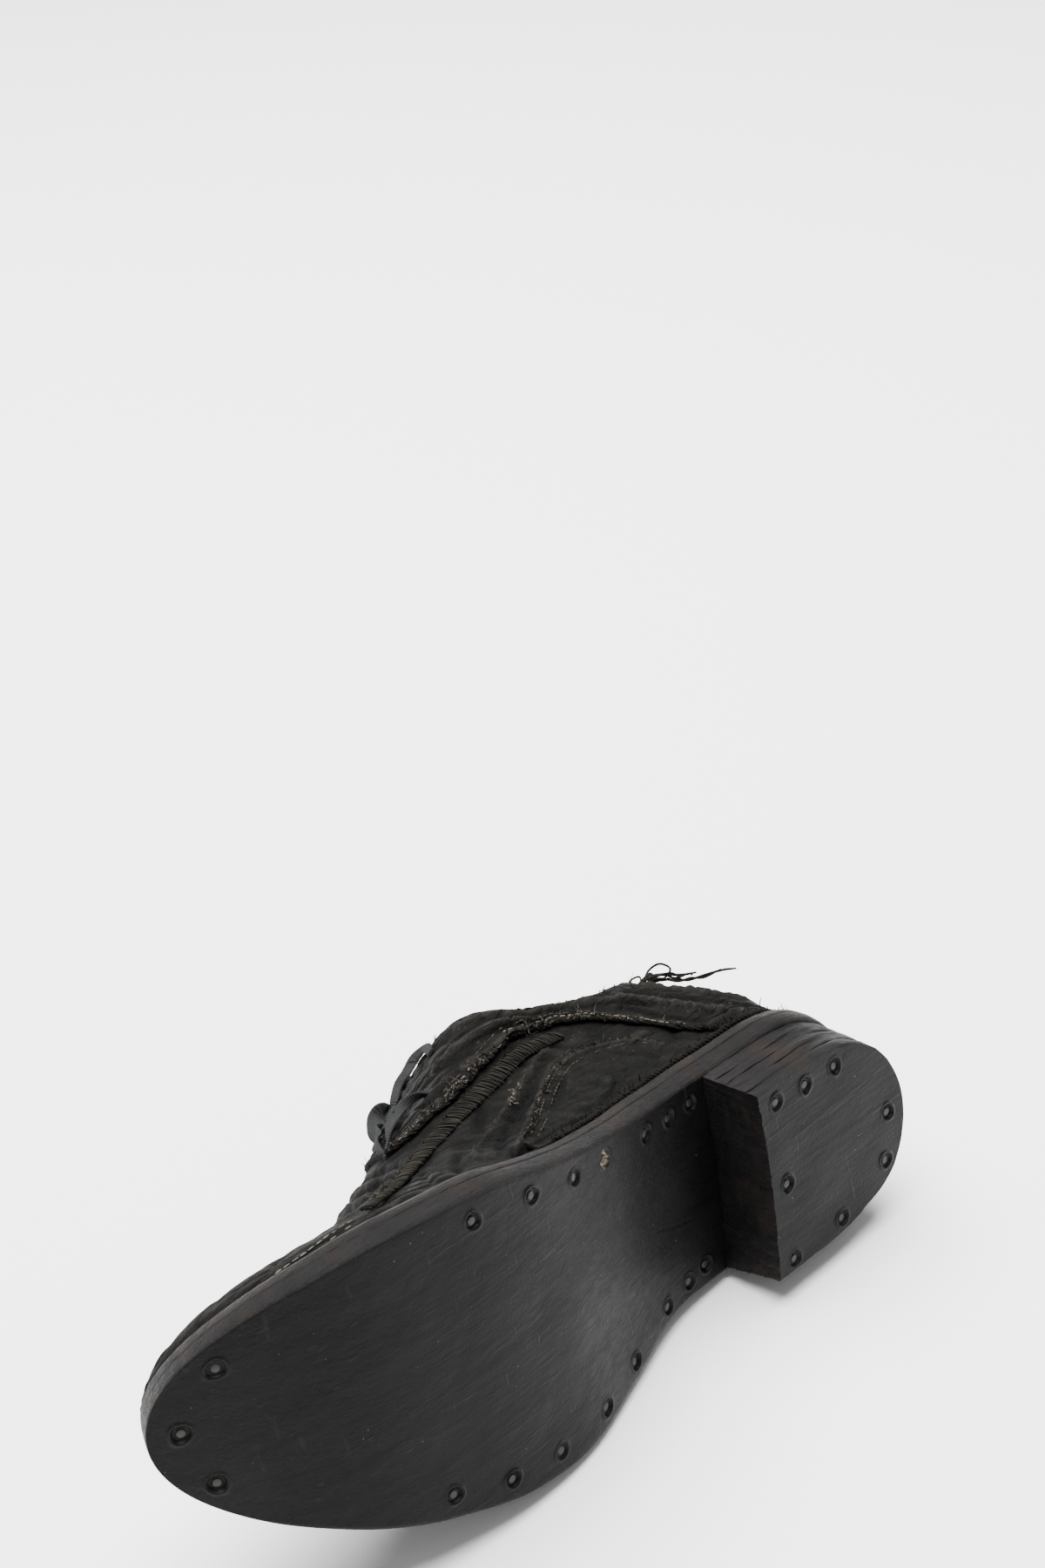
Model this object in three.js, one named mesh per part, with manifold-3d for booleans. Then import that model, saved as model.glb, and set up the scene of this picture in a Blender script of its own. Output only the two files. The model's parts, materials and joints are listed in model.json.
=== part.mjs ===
// Right derby shoe, laid on its lateral side: stacked leather sole and heel under a thin leather upper.
// Lengths are millimetres. The shoe is drawn standing (X heel to toe, Y medial, Z up) and laid down last.
import * as THREE from 'three';
import Module from 'manifold-3d';
import { mergeVertices } from 'three/addons/utils/BufferGeometryUtils.js';
import { ConvexHull } from 'three/addons/math/ConvexHull.js';

const wasm = await Module();
wasm.setup();

// Driving sizes
const SOLE_LENGTH = 300;
const BALL_WIDTH = 103.6;
const INSTEP_HEIGHT = 120;
const HEEL_HEIGHT = 23.4;
const HEEL_BREAST_AT = 72;
const HEEL_TAPER = 1.8;
const BREAST_HOLLOW = 1.6;
const BREAST_LEAN = 0.5;
const TOP_LIFT_THICKNESS = 5;
const LIFT_COUNT = 4;
const OUTSOLE_THICKNESS = 5.6;
const MIDSOLE_THICKNESS = 5.2;
const TREAD_BEVEL = 2.3;
const TOE_TRIM = 0.8;
const TOE_TRIM_AT = 0.82;
const EDGE_ROUND = 0.7;
const FIT_GAP = 0.3;
const UPPER_LIFT = 0.45;
const WALL = 2.2;
const INSOLE_THICKNESS = 2.6;
const INSOLE_CLEARANCE = 0.9;
const NAIL_DIAMETER = 4.4;
const NAIL_HEAD_THICKNESS = 1.8;
const NAIL_SINK = 0.4;
const NAIL_CLEARANCE = 0.25;
const EYELET_COUNT = 4;
const EYELET_DIAMETER = 4;
const EYELET_EDGE_DISTANCE = 8;
const THROAT_WIDTH = 15;
const THROAT_BASE_AT = 147;
const THROAT_TOP_AT = 102;
const TONGUE_THICKNESS = 2;
const TONGUE_WIDTH = 44;
const TONGUE_CLEARANCE = 0.9;
const TONGUE_RISE = 9;
const LACE_WIDTH = 5.2;
const LACE_THICKNESS = 1.3;
const LACE_LIFT = 0.3;
const OVERLAY_GAP = 0.55;
const OVERLAY_THICKNESS = 1.3;
const CUTTER_DEPTH = 14;
const VAMP_OPENING_LENGTH = 30;
const TONGUE_UNDERLAP = 14;

// Smooth curve through the rows of a table
function curve(rows, key, at) {
  const last = rows.length - 1;
  if (at <= rows[0].at) return rows[0][key];
  if (at >= rows[last].at) return rows[last][key];
  let i = 0;
  while (at > rows[i + 1].at) i += 1;
  const slope = (j) => {
    const a = Math.max(j - 1, 0);
    const b = Math.min(j + 1, last);
    return (rows[b][key] - rows[a][key]) / (rows[b].at - rows[a].at);
  };
  const span = rows[i + 1].at - rows[i].at;
  const t = (at - rows[i].at) / span;
  const h1 = 2 * t ** 3 - 3 * t ** 2 + 1;
  const h2 = t ** 3 - 2 * t ** 2 + t;
  const h3 = -2 * t ** 3 + 3 * t ** 2;
  const h4 = t ** 3 - t ** 2;
  return h1 * rows[i][key] + h2 * span * slope(i) + h3 * rows[i + 1][key] + h4 * span * slope(i + 1);
}

// Sole outline: shares of the length (at) and of the ball width (centre line and half width)
const OUTLINE = [
  { at: 0, centre: -0.003, half: 0.336 },
  { at: 0.08, centre: 0.012, half: 0.332 },
  { at: 0.16, centre: 0.0, half: 0.341 },
  { at: 0.25, centre: -0.008, half: 0.344 },
  { at: 0.34, centre: -0.004, half: 0.352 },
  { at: 0.433, centre: -0.005, half: 0.403 },
  { at: 0.533, centre: 0.004, half: 0.468 },
  { at: 0.633, centre: 0.043, half: 0.5 },
  { at: 0.733, centre: 0.084, half: 0.472 },
  { at: 0.833, centre: 0.12, half: 0.434 },
  { at: 0.907, centre: 0.14, half: 0.421 },
  { at: 1.0, centre: 0.16, half: 0.415 },
];
const HEEL_ROUND = 0.137;
const HEEL_POWER = 2.25;
const TOE_ROUND = 0.26;
const TOE_POWER = 2;
// Tread height: shares of the length and of the heel height
const TREAD = [
  { at: 0, rise: 1.05 },
  { at: 0.24, rise: 1.0 },
  { at: 0.333, rise: 0.867 },
  { at: 0.433, rise: 0.493 },
  { at: 0.533, rise: 0.124 },
  { at: 0.62, rise: 0 },
  { at: 0.7, rise: 0.03 },
  { at: 0.8, rise: 0.222 },
  { at: 0.9, rise: 0.73 },
  { at: 1.0, rise: 1.52 },
];

function roundEnd(distance, radius, power) {
  const u = Math.min(Math.max(1 - distance / radius, 0), 1);
  return Math.pow(Math.max(1 - Math.pow(u, power), 0), 1 / power);
}

function outlineAt(x) {
  const at = x / SOLE_LENGTH;
  const ends = roundEnd(x, HEEL_ROUND * SOLE_LENGTH, HEEL_POWER)
    * roundEnd(SOLE_LENGTH - x, TOE_ROUND * SOLE_LENGTH, TOE_POWER);
  return { centre: curve(OUTLINE, 'centre', at) * BALL_WIDTH, half: curve(OUTLINE, 'half', at) * BALL_WIDTH * ends };
}

function treadAt(x) {
  const d = 0.5;
  const height = (v) => curve(TREAD, 'rise', v / SOLE_LENGTH) * HEEL_HEIGHT;
  const inside = Math.min(Math.max(x, d), SOLE_LENGTH - d);
  const slope = (height(inside + d) - height(inside - d)) / (2 * d);
  const size = Math.hypot(1, slope);
  return { z: height(x), tangent: [1 / size, slope / size], normal: [-slope / size, 1 / size] };
}

// A loop of stations around the outline; side is +1 medial, -1 lateral, 0 at the two ends
function loopStations(count) {
  const loop = [];
  const xAt = (k) => SOLE_LENGTH * (0.5 - 0.5 * Math.cos((Math.PI * k) / count));
  for (let k = 0; k <= count; k += 1) loop.push({ x: xAt(k), side: k === 0 || k === count ? 0 : 1 });
  for (let k = count - 1; k > 0; k -= 1) loop.push({ x: xAt(k), side: -1 });
  return loop;
}

function planPoint(station) {
  const o = outlineAt(station.x);
  return [station.x, o.centre + station.side * o.half];
}

function planNormals(loop) {
  const points = loop.map(planPoint);
  return points.map((p, i) => {
    const a = points[(i + points.length - 1) % points.length];
    const b = points[(i + 1) % points.length];
    const dx = b[0] - a[0];
    const dy = b[1] - a[1];
    const size = Math.hypot(dx, dy);
    return [-dy / size, dx / size];
  });
}

// A point of the sole: height along the tread's normal, offset outward from the outline
function solePoint(station, normal, height, offset) {
  const p = planPoint(station);
  const t = treadAt(station.x);
  const toward = Math.min(Math.max((station.x / SOLE_LENGTH - TOE_TRIM_AT) / (1 - TOE_TRIM_AT), 0), 1);
  const out = offset * (1 - TOE_TRIM * toward * toward * (3 - 2 * toward));
  return [
    p[0] + height * t.normal[0] + out * normal[0] * t.tangent[0],
    p[1] + out * normal[1],
    t.z + height * t.normal[1] + out * normal[0] * t.tangent[1],
  ];
}

function toGeometry(triangles) {
  const flat = new Float32Array(triangles.length * 9);
  triangles.forEach((tri, i) => tri.forEach((p, j) => flat.set(p, i * 9 + j * 3)));
  const raw = new THREE.BufferGeometry();
  raw.setAttribute('position', new THREE.BufferAttribute(flat, 3));
  return clean(raw);
}

// Merge equal points and leave out the triangles that have no area
function clean(geometry) {
  geometry.deleteAttribute('normal');
  geometry.deleteAttribute('uv');
  const merged = mergeVertices(geometry, 1e-4);
  const index = merged.index.array;
  const kept = [];
  for (let i = 0; i < index.length; i += 3) {
    const [a, b, c] = [index[i], index[i + 1], index[i + 2]];
    if (a !== b && b !== c && c !== a) kept.push(a, b, c);
  }
  merged.setIndex(kept);
  return merged;
}

// Closed solid from loops of the same length, lowest first, with strips across both ends
function stackLoops(loops, acrossStart) {
  const triangles = [];
  const n = loops[0].length;
  for (let j = 0; j + 1 < loops.length; j += 1) {
    for (let i = 0; i < n; i += 1) {
      const k = (i + 1) % n;
      triangles.push([loops[j][i], loops[j + 1][k], loops[j][k]]);
      triangles.push([loops[j][i], loops[j + 1][i], loops[j + 1][k]]);
    }
  }
  const cap = (loop, up) => {
    for (let i = 0; i < n / 2; i += 1) {
      const a = loop[(acrossStart + i) % n];
      const b = loop[(acrossStart + i + 1) % n];
      const c = loop[(acrossStart - i - 1 + n) % n];
      const d = loop[(acrossStart - i + n) % n];
      const quads = up ? [[a, c, b], [a, d, c]] : [[a, b, c], [a, c, d]];
      triangles.push(...quads);
    }
  };
  cap(loops[0], false);
  cap(loops[loops.length - 1], true);
  return toGeometry(triangles);
}

function soleLayer(profile, count) {
  const loop = loopStations(count);
  const normals = planNormals(loop);
  return stackLoops(profile.map(([height, offset]) => loop.map((s, i) => solePoint(s, normals[i], height, offset))), 0);
}

function toManifold(geometry) {
  return new wasm.Manifold(new wasm.Mesh({
    numProp: 3,
    vertProperties: new Float32Array(geometry.attributes.position.array),
    triVerts: new Uint32Array(geometry.index.array),
  }));
}

// Solid from closed triangles, turned the right way out
function closedSolid(triangles) {
  const solid = toManifold(toGeometry(triangles));
  if (solid.volume() > 0) return solid;
  return toManifold(toGeometry(triangles.map(([a, b, c]) => [a, c, b])));
}

function fromManifold(solid) {
  const mesh = solid.getMesh();
  const geometry = new THREE.BufferGeometry();
  geometry.setAttribute('position', new THREE.BufferAttribute(new Float32Array(mesh.vertProperties), 3));
  geometry.setIndex(Array.from(mesh.triVerts));
  return geometry;
}

const group = new THREE.Group();

function addPiece(name, geometry, colour, roughness, metalness = 0) {
  geometry.computeVertexNormals();
  const mesh = new THREE.Mesh(geometry, new THREE.MeshStandardMaterial({ color: colour, roughness, metalness }));
  mesh.name = name;
  group.add(mesh);
  return mesh;
}

// Heel: outline taken from the sole, drawn in toward the ground, cut flat and hollow at the breast
const MIDSOLE_BASE = OUTSOLE_THICKNESS + FIT_GAP;
const SOLE_TOP = MIDSOLE_BASE + MIDSOLE_THICKNESS;

function heelLoop(height, level, count = 18) {
  const share = Math.min(height / HEEL_HEIGHT, 1);
  const inset = HEEL_TAPER * (1 - share);
  const front = HEEL_BREAST_AT + BREAST_LEAN * share;
  const points = [];
  const side = (x, sign) => {
    const o = outlineAt(x);
    return o.centre + sign * Math.max(o.half - inset * Math.min(o.half / 12, 1), 0);
  };
  const xs = [];
  for (let k = 0; k <= count; k += 1) xs.push(front * (1 - Math.cos((Math.PI * 0.5 * k) / count)));
  const place = (x) => inset + (x * (front - inset)) / front;
  xs.forEach((x, k) => points.push([place(x), side(x, k === 0 ? 0 : 1)]));
  const across = 6;
  const wide = side(front, 1);
  const narrow = side(front, -1);
  for (let k = 1; k < across; k += 1) {
    const v = k / across;
    points.push([front - BREAST_HOLLOW * Math.sin(Math.PI * v), wide + (narrow - wide) * v]);
  }
  for (let k = count; k > 0; k -= 1) points.push([place(xs[k]), side(xs[k], -1)]);
  return points.map(([x, y]) => [x, y, level(x)]);
}

function fanSolid(loops) {
  const triangles = [];
  const n = loops[0].length;
  for (let j = 0; j + 1 < loops.length; j += 1) {
    for (let i = 0; i < n; i += 1) {
      const k = (i + 1) % n;
      triangles.push([loops[j][i], loops[j + 1][k], loops[j][k]]);
      triangles.push([loops[j][i], loops[j + 1][i], loops[j + 1][k]]);
    }
  }
  const cap = (loop, up) => {
    const middle = [0, 1, 2].map((a) => loop.reduce((s, p) => s + p[a], 0) / n);
    for (let i = 0; i < n; i += 1) {
      const k = (i + 1) % n;
      triangles.push(up ? [middle, loop[k], loop[i]] : [middle, loop[i], loop[k]]);
    }
  };
  cap(loops[0], false);
  cap(loops[loops.length - 1], true);
  return toGeometry(triangles);
}

const lastLiftTop = (x) => treadAt(x).z - FIT_GAP;
const liftHeight = (HEEL_HEIGHT - TOP_LIFT_THICKNESS - FIT_GAP) / LIFT_COUNT;

// Nails: share of the length, share of the half width at that station (plus is medial)
const SOLE_NAILS = [
  { at: 0.935, across: 0.72 },
  { at: 0.972, across: 0.1 },
  { at: 0.952, across: -0.64 },
  { at: 0.659, across: 0.85 },
  { at: 0.575, across: 0.86 },
  { at: 0.502, across: 0.86 },
  { at: 0.439, across: 0.86 },
  { at: 0.35, across: 0.83 },
  { at: 0.305, across: 0.82 },
  { at: 0.265, across: 0.82 },
  { at: 0.735, across: -0.85 },
  { at: 0.662, across: -0.87 },
  { at: 0.59, across: -0.86 },
  { at: 0.506, across: -0.87 },
  { at: 0.437, across: -0.88 },
  { at: 0.354, across: -0.87 },
  { at: 0.308, across: -0.85 },
  { at: 0.276, across: -0.81 },
];
const HEEL_NAILS = [
  { at: 0.212, across: 0.78 },
  { at: 0.163, across: 0.76 },
  { at: 0.113, across: 0.76 },
  { at: 0.034, across: -0.05 },
  { at: 0.046, across: -0.66 },
  { at: 0.129, across: -0.8 },
  { at: 0.213, across: -0.84 },
  { at: 0.21, across: -0.07 },
];

function nailSpot(row) {
  const x = row.at * SOLE_LENGTH;
  const o = outlineAt(x);
  return { x, y: o.centre + row.across * o.half };
}

function turnedCylinder(radius, low, high, x, y, z, normal, sides = 8) {
  const geometry = new THREE.CylinderGeometry(radius, radius, high - low, sides);
  geometry.translate(0, (high + low) / 2, 0);
  geometry.rotateX(Math.PI / 2);
  geometry.rotateY(Math.atan2(normal[0], normal[1]));
  geometry.translate(x, y, z);
  return clean(geometry);
}

const soleNailCuts = [];
const nailPieces = [];
SOLE_NAILS.forEach((row) => {
  const spot = nailSpot(row);
  const t = treadAt(spot.x);
  const place = [spot.x, spot.y, t.z, t.normal];
  const deep = NAIL_SINK + NAIL_HEAD_THICKNESS;
  soleNailCuts.push(turnedCylinder(NAIL_DIAMETER / 2 + NAIL_CLEARANCE, -2, deep + NAIL_CLEARANCE, ...place));
  nailPieces.push(turnedCylinder(NAIL_DIAMETER / 2, NAIL_SINK, deep, ...place));
});
const heelNailCuts = [];
HEEL_NAILS.forEach((row) => {
  const spot = nailSpot(row);
  const place = [spot.x, spot.y, 0, [0, 1]];
  const deep = NAIL_SINK + NAIL_HEAD_THICKNESS;
  heelNailCuts.push(turnedCylinder(NAIL_DIAMETER / 2 + NAIL_CLEARANCE, -2, deep + NAIL_CLEARANCE, ...place));
  nailPieces.push(turnedCylinder(NAIL_DIAMETER / 2, NAIL_SINK, deep, ...place));
});

const outsoleBlank = soleLayer([
  [0, 0],
  [EDGE_ROUND, EDGE_ROUND],
  [OUTSOLE_THICKNESS, TREAD_BEVEL],
], 32);
const outsole = fromManifold(soleNailCuts.reduce((s, c) => s.subtract(toManifold(c)), toManifold(outsoleBlank)));
addPiece('outsole', outsole, 0x232325, 0.55);
addPiece('midsole', soleLayer([
  [MIDSOLE_BASE, TREAD_BEVEL],
  [SOLE_TOP - EDGE_ROUND, TREAD_BEVEL],
  [SOLE_TOP, TREAD_BEVEL - EDGE_ROUND],
], 32), 0x343032, 0.6);

const topLiftBlank = fanSolid([
  heelLoop(0, () => 0),
  heelLoop(TOP_LIFT_THICKNESS, () => TOP_LIFT_THICKNESS),
]);
const topLift = heelNailCuts.reduce((s, c) => s.subtract(toManifold(c)), toManifold(topLiftBlank));
addPiece('top_lift', fromManifold(topLift), 0x29292b, 0.5);
for (let k = 0; k < LIFT_COUNT; k += 1) {
  const low = TOP_LIFT_THICKNESS + FIT_GAP + k * liftHeight;
  const high = low + liftHeight - FIT_GAP;
  const inFront = k === LIFT_COUNT - 1 ? lastLiftTop : () => high;
  addPiece(`heel_lift_${k + 1}`, fanSolid([
    heelLoop(low, () => low),
    heelLoop(high, inFront),
  ]), 0x2e2c2d, 0.62);
}

nailPieces.forEach((geometry, k) => {
  addPiece(`nail_${String(k + 1).padStart(2, '0')}`, geometry, 0x3a3634, 0.5, 0.6);
});

// The form of the last, in rows along the length: crest is the height of its top as a share of the
// instep height, ridge the sideways place of the top, and the half widths on both sides at the
// feather line, at the fullest part and at the shoulder, all as shares of the ball width
const FORM = [
  { at: 0.0, crest: 1.3, ridge: 0.02, mFoot: 0.325, mFull: 0.335, mHigh: 0.28, lFoot: 0.325, lFull: 0.3, lHigh: 0.225 },
  { at: 0.12, crest: 1.3, ridge: 0.03, mFoot: 0.33, mFull: 0.345, mHigh: 0.285, lFoot: 0.325, lFull: 0.275, lHigh: 0.2 },
  { at: 0.25, crest: 1.3, ridge: 0.06, mFoot: 0.332, mFull: 0.35, mHigh: 0.305, lFoot: 0.322, lFull: 0.26, lHigh: 0.19 },
  { at: 0.34, crest: 1.11, ridge: 0.1, mFoot: 0.338, mFull: 0.37, mHigh: 0.4, lFoot: 0.33, lFull: 0.275, lHigh: 0.185 },
  { at: 0.43, crest: 0.955, ridge: 0.135, mFoot: 0.385, mFull: 0.395, mHigh: 0.4, lFoot: 0.38, lFull: 0.325, lHigh: 0.19 },
  { at: 0.53, crest: 0.79, ridge: 0.16, mFoot: 0.45, mFull: 0.43, mHigh: 0.355, lFoot: 0.45, lFull: 0.4, lHigh: 0.22 },
  { at: 0.633, crest: 0.64, ridge: 0.16, mFoot: 0.483, mFull: 0.445, mHigh: 0.315, lFoot: 0.483, lFull: 0.45, lHigh: 0.26 },
  { at: 0.733, crest: 0.525, ridge: 0.15, mFoot: 0.457, mFull: 0.425, mHigh: 0.295, lFoot: 0.457, lFull: 0.43, lHigh: 0.28 },
  { at: 0.833, crest: 0.47, ridge: 0.155, mFoot: 0.42, mFull: 0.405, mHigh: 0.295, lFoot: 0.42, lFull: 0.4, lHigh: 0.28 },
  { at: 0.92, crest: 0.475, ridge: 0.165, mFoot: 0.4, mFull: 0.405, mHigh: 0.3, lFoot: 0.4, lFull: 0.39, lHigh: 0.27 },
  { at: 1.0, crest: 0.55, ridge: 0.165, mFoot: 0.4, mFull: 0.4, mHigh: 0.3, lFoot: 0.4, lFull: 0.37, lHigh: 0.265 },
];
const FORM_HEEL_AT = 4.5;
const FORM_TOE_INSET = 9;
const HEEL_BACK_LEAN = 9;
const FULL_SHARE = 0.3;
const SHOULDER_SHARE = 0.7;
const TOE_CREST_ROUND = 0.1;

const formToe = SOLE_LENGTH - FORM_TOE_INSET;

function featherAt(x) {
  const t = treadAt(x);
  return t.z + (SOLE_TOP + UPPER_LIFT) / t.normal[1];
}

// Point of the form: u runs from heel (0) to toe (1), v from medial feather line (0) over the top to
// the lateral feather line (1)
function formPoint(u, v) {
  const x = FORM_HEEL_AT + (formToe - FORM_HEEL_AT) * (0.5 - 0.5 * Math.cos(Math.PI * u));
  const at = x / SOLE_LENGTH;
  const ends = roundEnd(x - FORM_HEEL_AT, HEEL_ROUND * SOLE_LENGTH, HEEL_POWER)
    * roundEnd(formToe - x, TOE_ROUND * SOLE_LENGTH * 0.96, TOE_POWER);
  const c = curve(OUTLINE, 'centre', at) * BALL_WIDTH;
  const foot = featherAt(x);
  const toeFall = roundEnd(formToe - x, TOE_CREST_ROUND * SOLE_LENGTH, 2.3);
  const crest = foot + (curve(FORM, 'crest', at) * INSTEP_HEIGHT - foot) * (0.12 + 0.88 * toeFall);
  const width = (key) => curve(FORM, key, at) * BALL_WIDTH * ends;
  const ridge = c + (curve(FORM, 'ridge', at) * BALL_WIDTH - c) * ends;
  const rise = crest - foot;
  const rows = [
    { at: 0, y: c + width('mFoot'), z: foot },
    { at: 0.17, y: c + width('mFull'), z: foot + rise * FULL_SHARE },
    { at: 0.34, y: c + width('mHigh'), z: foot + rise * SHOULDER_SHARE },
    { at: 0.5, y: ridge, z: crest },
    { at: 0.66, y: c - width('lHigh'), z: foot + rise * SHOULDER_SHARE },
    { at: 0.83, y: c - width('lFull'), z: foot + rise * FULL_SHARE },
    { at: 1, y: c - width('lFoot'), z: foot },
  ];
  const z = curve(rows, 'z', v);
  const heelShare = Math.max(1 - (x - FORM_HEEL_AT) / (0.3 * SOLE_LENGTH), 0);
  const lean = HEEL_BACK_LEAN * heelShare * Math.max((z - featherAt(0)) / 70, 0) ** 2;
  const belly = -2.5 * heelShare * Math.sin(Math.min(Math.max((z - foot) / 50, 0), 1) * Math.PI);
  return [x + lean + belly, curve(rows, 'y', v), z];
}

function formNormal(u, v) {
  const d = 0.004;
  const clampU = (w) => Math.min(Math.max(w, 0.012), 0.988);
  const a = formPoint(clampU(u + d), v);
  const b = formPoint(clampU(u - d), v);
  const e = formPoint(clampU(u), Math.min(v + d, 1));
  const f = formPoint(clampU(u), Math.max(v - d, 0));
  const along = new THREE.Vector3(a[0] - b[0], a[1] - b[1], a[2] - b[2]);
  const over = new THREE.Vector3(e[0] - f[0], e[1] - f[1], e[2] - f[2]);
  return over.cross(along).normalize();
}

function formOffset(u, v, distance) {
  const p = formPoint(u, v);
  const n = formNormal(u, v);
  return [p[0] + n.x * distance, p[1] + n.y * distance, p[2] + n.z * distance];
}

const FORM_STEPS = 36;
const FORM_AROUND = 22;

function formSolid(distance, below) {
  const triangles = [];
  const rings = [];
  for (let k = 0; k <= FORM_STEPS; k += 1) {
    const u = 0.02 + (0.96 * k) / FORM_STEPS;
    const ring = [];
    for (let j = 0; j <= FORM_AROUND; j += 1) ring.push(formOffset(u, j / FORM_AROUND, distance));
    const low = Math.min(ring[0][2], ring[FORM_AROUND][2]) - below;
    if (below > 0) {
      ring.push([ring[FORM_AROUND][0], ring[FORM_AROUND][1], low]);
      ring.unshift([ring[0][0], ring[0][1], low]);
    } else {
      ring[0][2] = featherAt(ring[0][0]);
      ring[FORM_AROUND][2] = featherAt(ring[FORM_AROUND][0]);
    }
    rings.push(ring);
  }
  const n = rings[0].length;
  for (let k = 0; k < FORM_STEPS; k += 1) {
    for (let j = 0; j < n; j += 1) {
      const i = (j + 1) % n;
      triangles.push([rings[k][j], rings[k][i], rings[k + 1][i]]);
      triangles.push([rings[k][j], rings[k + 1][i], rings[k + 1][j]]);
    }
  }
  const cap = (ring, front) => {
    for (let j = 0; j < (n - 1) / 2; j += 1) {
      const [a, b, c, d] = [ring[j], ring[j + 1], ring[n - 2 - j], ring[n - 1 - j]];
      triangles.push(...(front ? [[a, b, c], [a, c, d]] : [[a, c, b], [a, d, c]]));
    }
  };
  cap(rings[0], false);
  cap(rings[FORM_STEPS], true);
  return closedSolid(triangles);
}

// Collar line of the quarters: shares of the length and of the instep height
const COLLAR = [
  { at: -0.1, rise: 0.88 },
  { at: 0.03, rise: 0.86 },
  { at: 0.12, rise: 0.775 },
  { at: 0.2, rise: 0.785 },
  { at: 0.28, rise: 0.865 },
  { at: 0.33, rise: 0.96 },
  { at: 0.37, rise: 1.09 },
  { at: 0.39, rise: 1.3 },
];
// Edge of the quarters over the vamp, heel to throat: shares of the length and of the instep height
const SEAM = [
  [-0.1, 0.26],
  [0.1, 0.3],
  [0.15, 0.345],
  [0.175, 0.45],
  [0.185, 0.55],
  [0.21, 0.64],
  [0.25, 0.69],
  [0.29, 0.7],
  [0.34, 0.685],
  [0.41, 0.64],
  [0.45, 0.612],
  [0.49, 0.605],
  [0.52, 0.625],
  [0.54, 0.66],
  [0.535, 0.75],
  [0.515, 0.88],
  [0.51, 1.0],
];

// Prism across the whole shoe over a line of side points, closed at a height above it
function sidePrism(points, top) {
  const shape = new THREE.Shape();
  shape.moveTo(points[0][0], top);
  points.forEach(([x, z]) => shape.lineTo(x, z));
  shape.lineTo(points[points.length - 1][0], top);
  shape.closePath();
  const geometry = new THREE.ExtrudeGeometry(shape, { depth: 240, bevelEnabled: false, steps: 1 });
  geometry.translate(0, 0, -120);
  geometry.rotateX(Math.PI / 2);
  return toManifold(clean(geometry));
}

function collarPrism() {
  const points = [];
  const steps = 22;
  const low = COLLAR[0].at;
  const high = COLLAR[COLLAR.length - 1].at;
  for (let k = 0; k <= steps; k += 1) {
    const at = low + ((high - low) * k) / steps;
    points.push([at * SOLE_LENGTH, curve(COLLAR, 'rise', at) * INSTEP_HEIGHT]);
  }
  return sidePrism(points, 2.4 * INSTEP_HEIGHT);
}

function seamPrism() {
  const line = new THREE.CatmullRomCurve3(SEAM.map(([at, rise]) => new THREE.Vector3(at, rise, 0)), false, 'centripetal');
  const points = line.getPoints(40).map((p) => [p.x * SOLE_LENGTH, p.y * INSTEP_HEIGHT]);
  return sidePrism(points, 2.2 * INSTEP_HEIGHT);
}

const uOfX = (x) => Math.acos(1 - (2 * (x - FORM_HEEL_AT)) / (formToe - FORM_HEEL_AT)) / Math.PI;
const ridgeY = (x) => formPoint(uOfX(x), 0.5)[1];

function throatCutter(extra, baseAt = THROAT_BASE_AT) {
  const shape = new THREE.Shape();
  const rows = 10;
  const topX = THROAT_TOP_AT - 16;
  const halfAt = (x) => {
    const share = Math.min((x - topX) / (THROAT_BASE_AT - topX), 1);
    return ((THROAT_WIDTH * (1 - 0.4 * share)) / 2 + extra) * roundEnd(baseAt + extra - x, 6, 2);
  };
  for (let k = 0; k <= rows; k += 1) {
    const x = topX + ((baseAt + extra - topX) * Math.sin((Math.PI * k) / (2 * rows)));
    const y = ridgeY(x) + halfAt(x);
    if (k === 0) shape.moveTo(x, y);
    else shape.lineTo(x, y);
  }
  for (let k = rows - 1; k >= 0; k -= 1) {
    const x = topX + ((baseAt + extra - topX) * Math.sin((Math.PI * k) / (2 * rows)));
    shape.lineTo(x, ridgeY(x) - halfAt(x));
  }
  shape.closePath();
  const geometry = new THREE.ExtrudeGeometry(shape, { depth: 170, bevelEnabled: false, steps: 1 });
  geometry.translate(0, 0, 0.55 * INSTEP_HEIGHT);
  return toManifold(clean(geometry));
}

// Eyelet rows: place along the throat and along the section on both sides of it
function eyeletSpot(row, sign) {
  const topX = THROAT_TOP_AT + 8;
  const x = topX + ((THROAT_BASE_AT - 8 - topX) * row) / (EYELET_COUNT - 1);
  const u = uOfX(x);
  const share = (x - topX) / (THROAT_BASE_AT - topX);
  const reach = (THROAT_WIDTH * (1 - 0.4 * share)) / 2 + EYELET_EDGE_DISTANCE;
  let v = 0.5;
  let walked = 0;
  let before = formPoint(u, v);
  while (walked < reach) {
    v -= sign * 0.002;
    const p = formPoint(u, v);
    walked += Math.hypot(p[0] - before[0], p[1] - before[1], p[2] - before[2]);
    before = p;
  }
  return { u, v };
}

function eyeletCutter(row, sign) {
  const spot = eyeletSpot(row, sign);
  const p = formPoint(spot.u, spot.v);
  const geometry = new THREE.CylinderGeometry(EYELET_DIAMETER / 2, EYELET_DIAMETER / 2, 14, 8);
  const turn = new THREE.Quaternion().setFromUnitVectors(new THREE.Vector3(0, 1, 0), formNormal(spot.u, spot.v));
  geometry.applyQuaternion(turn);
  geometry.translate(p[0], p[1], p[2]);
  return toManifold(clean(geometry));
}

const eyeletCuts = [];
for (let row = 0; row < EYELET_COUNT; row += 1) {
  eyeletCuts.push(eyeletCutter(row, 1), eyeletCutter(row, -1));
}
const collarCut = collarPrism();
const cutAll = (solid, cuts) => cuts.reduce((s, c) => s.subtract(c), solid);

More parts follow.
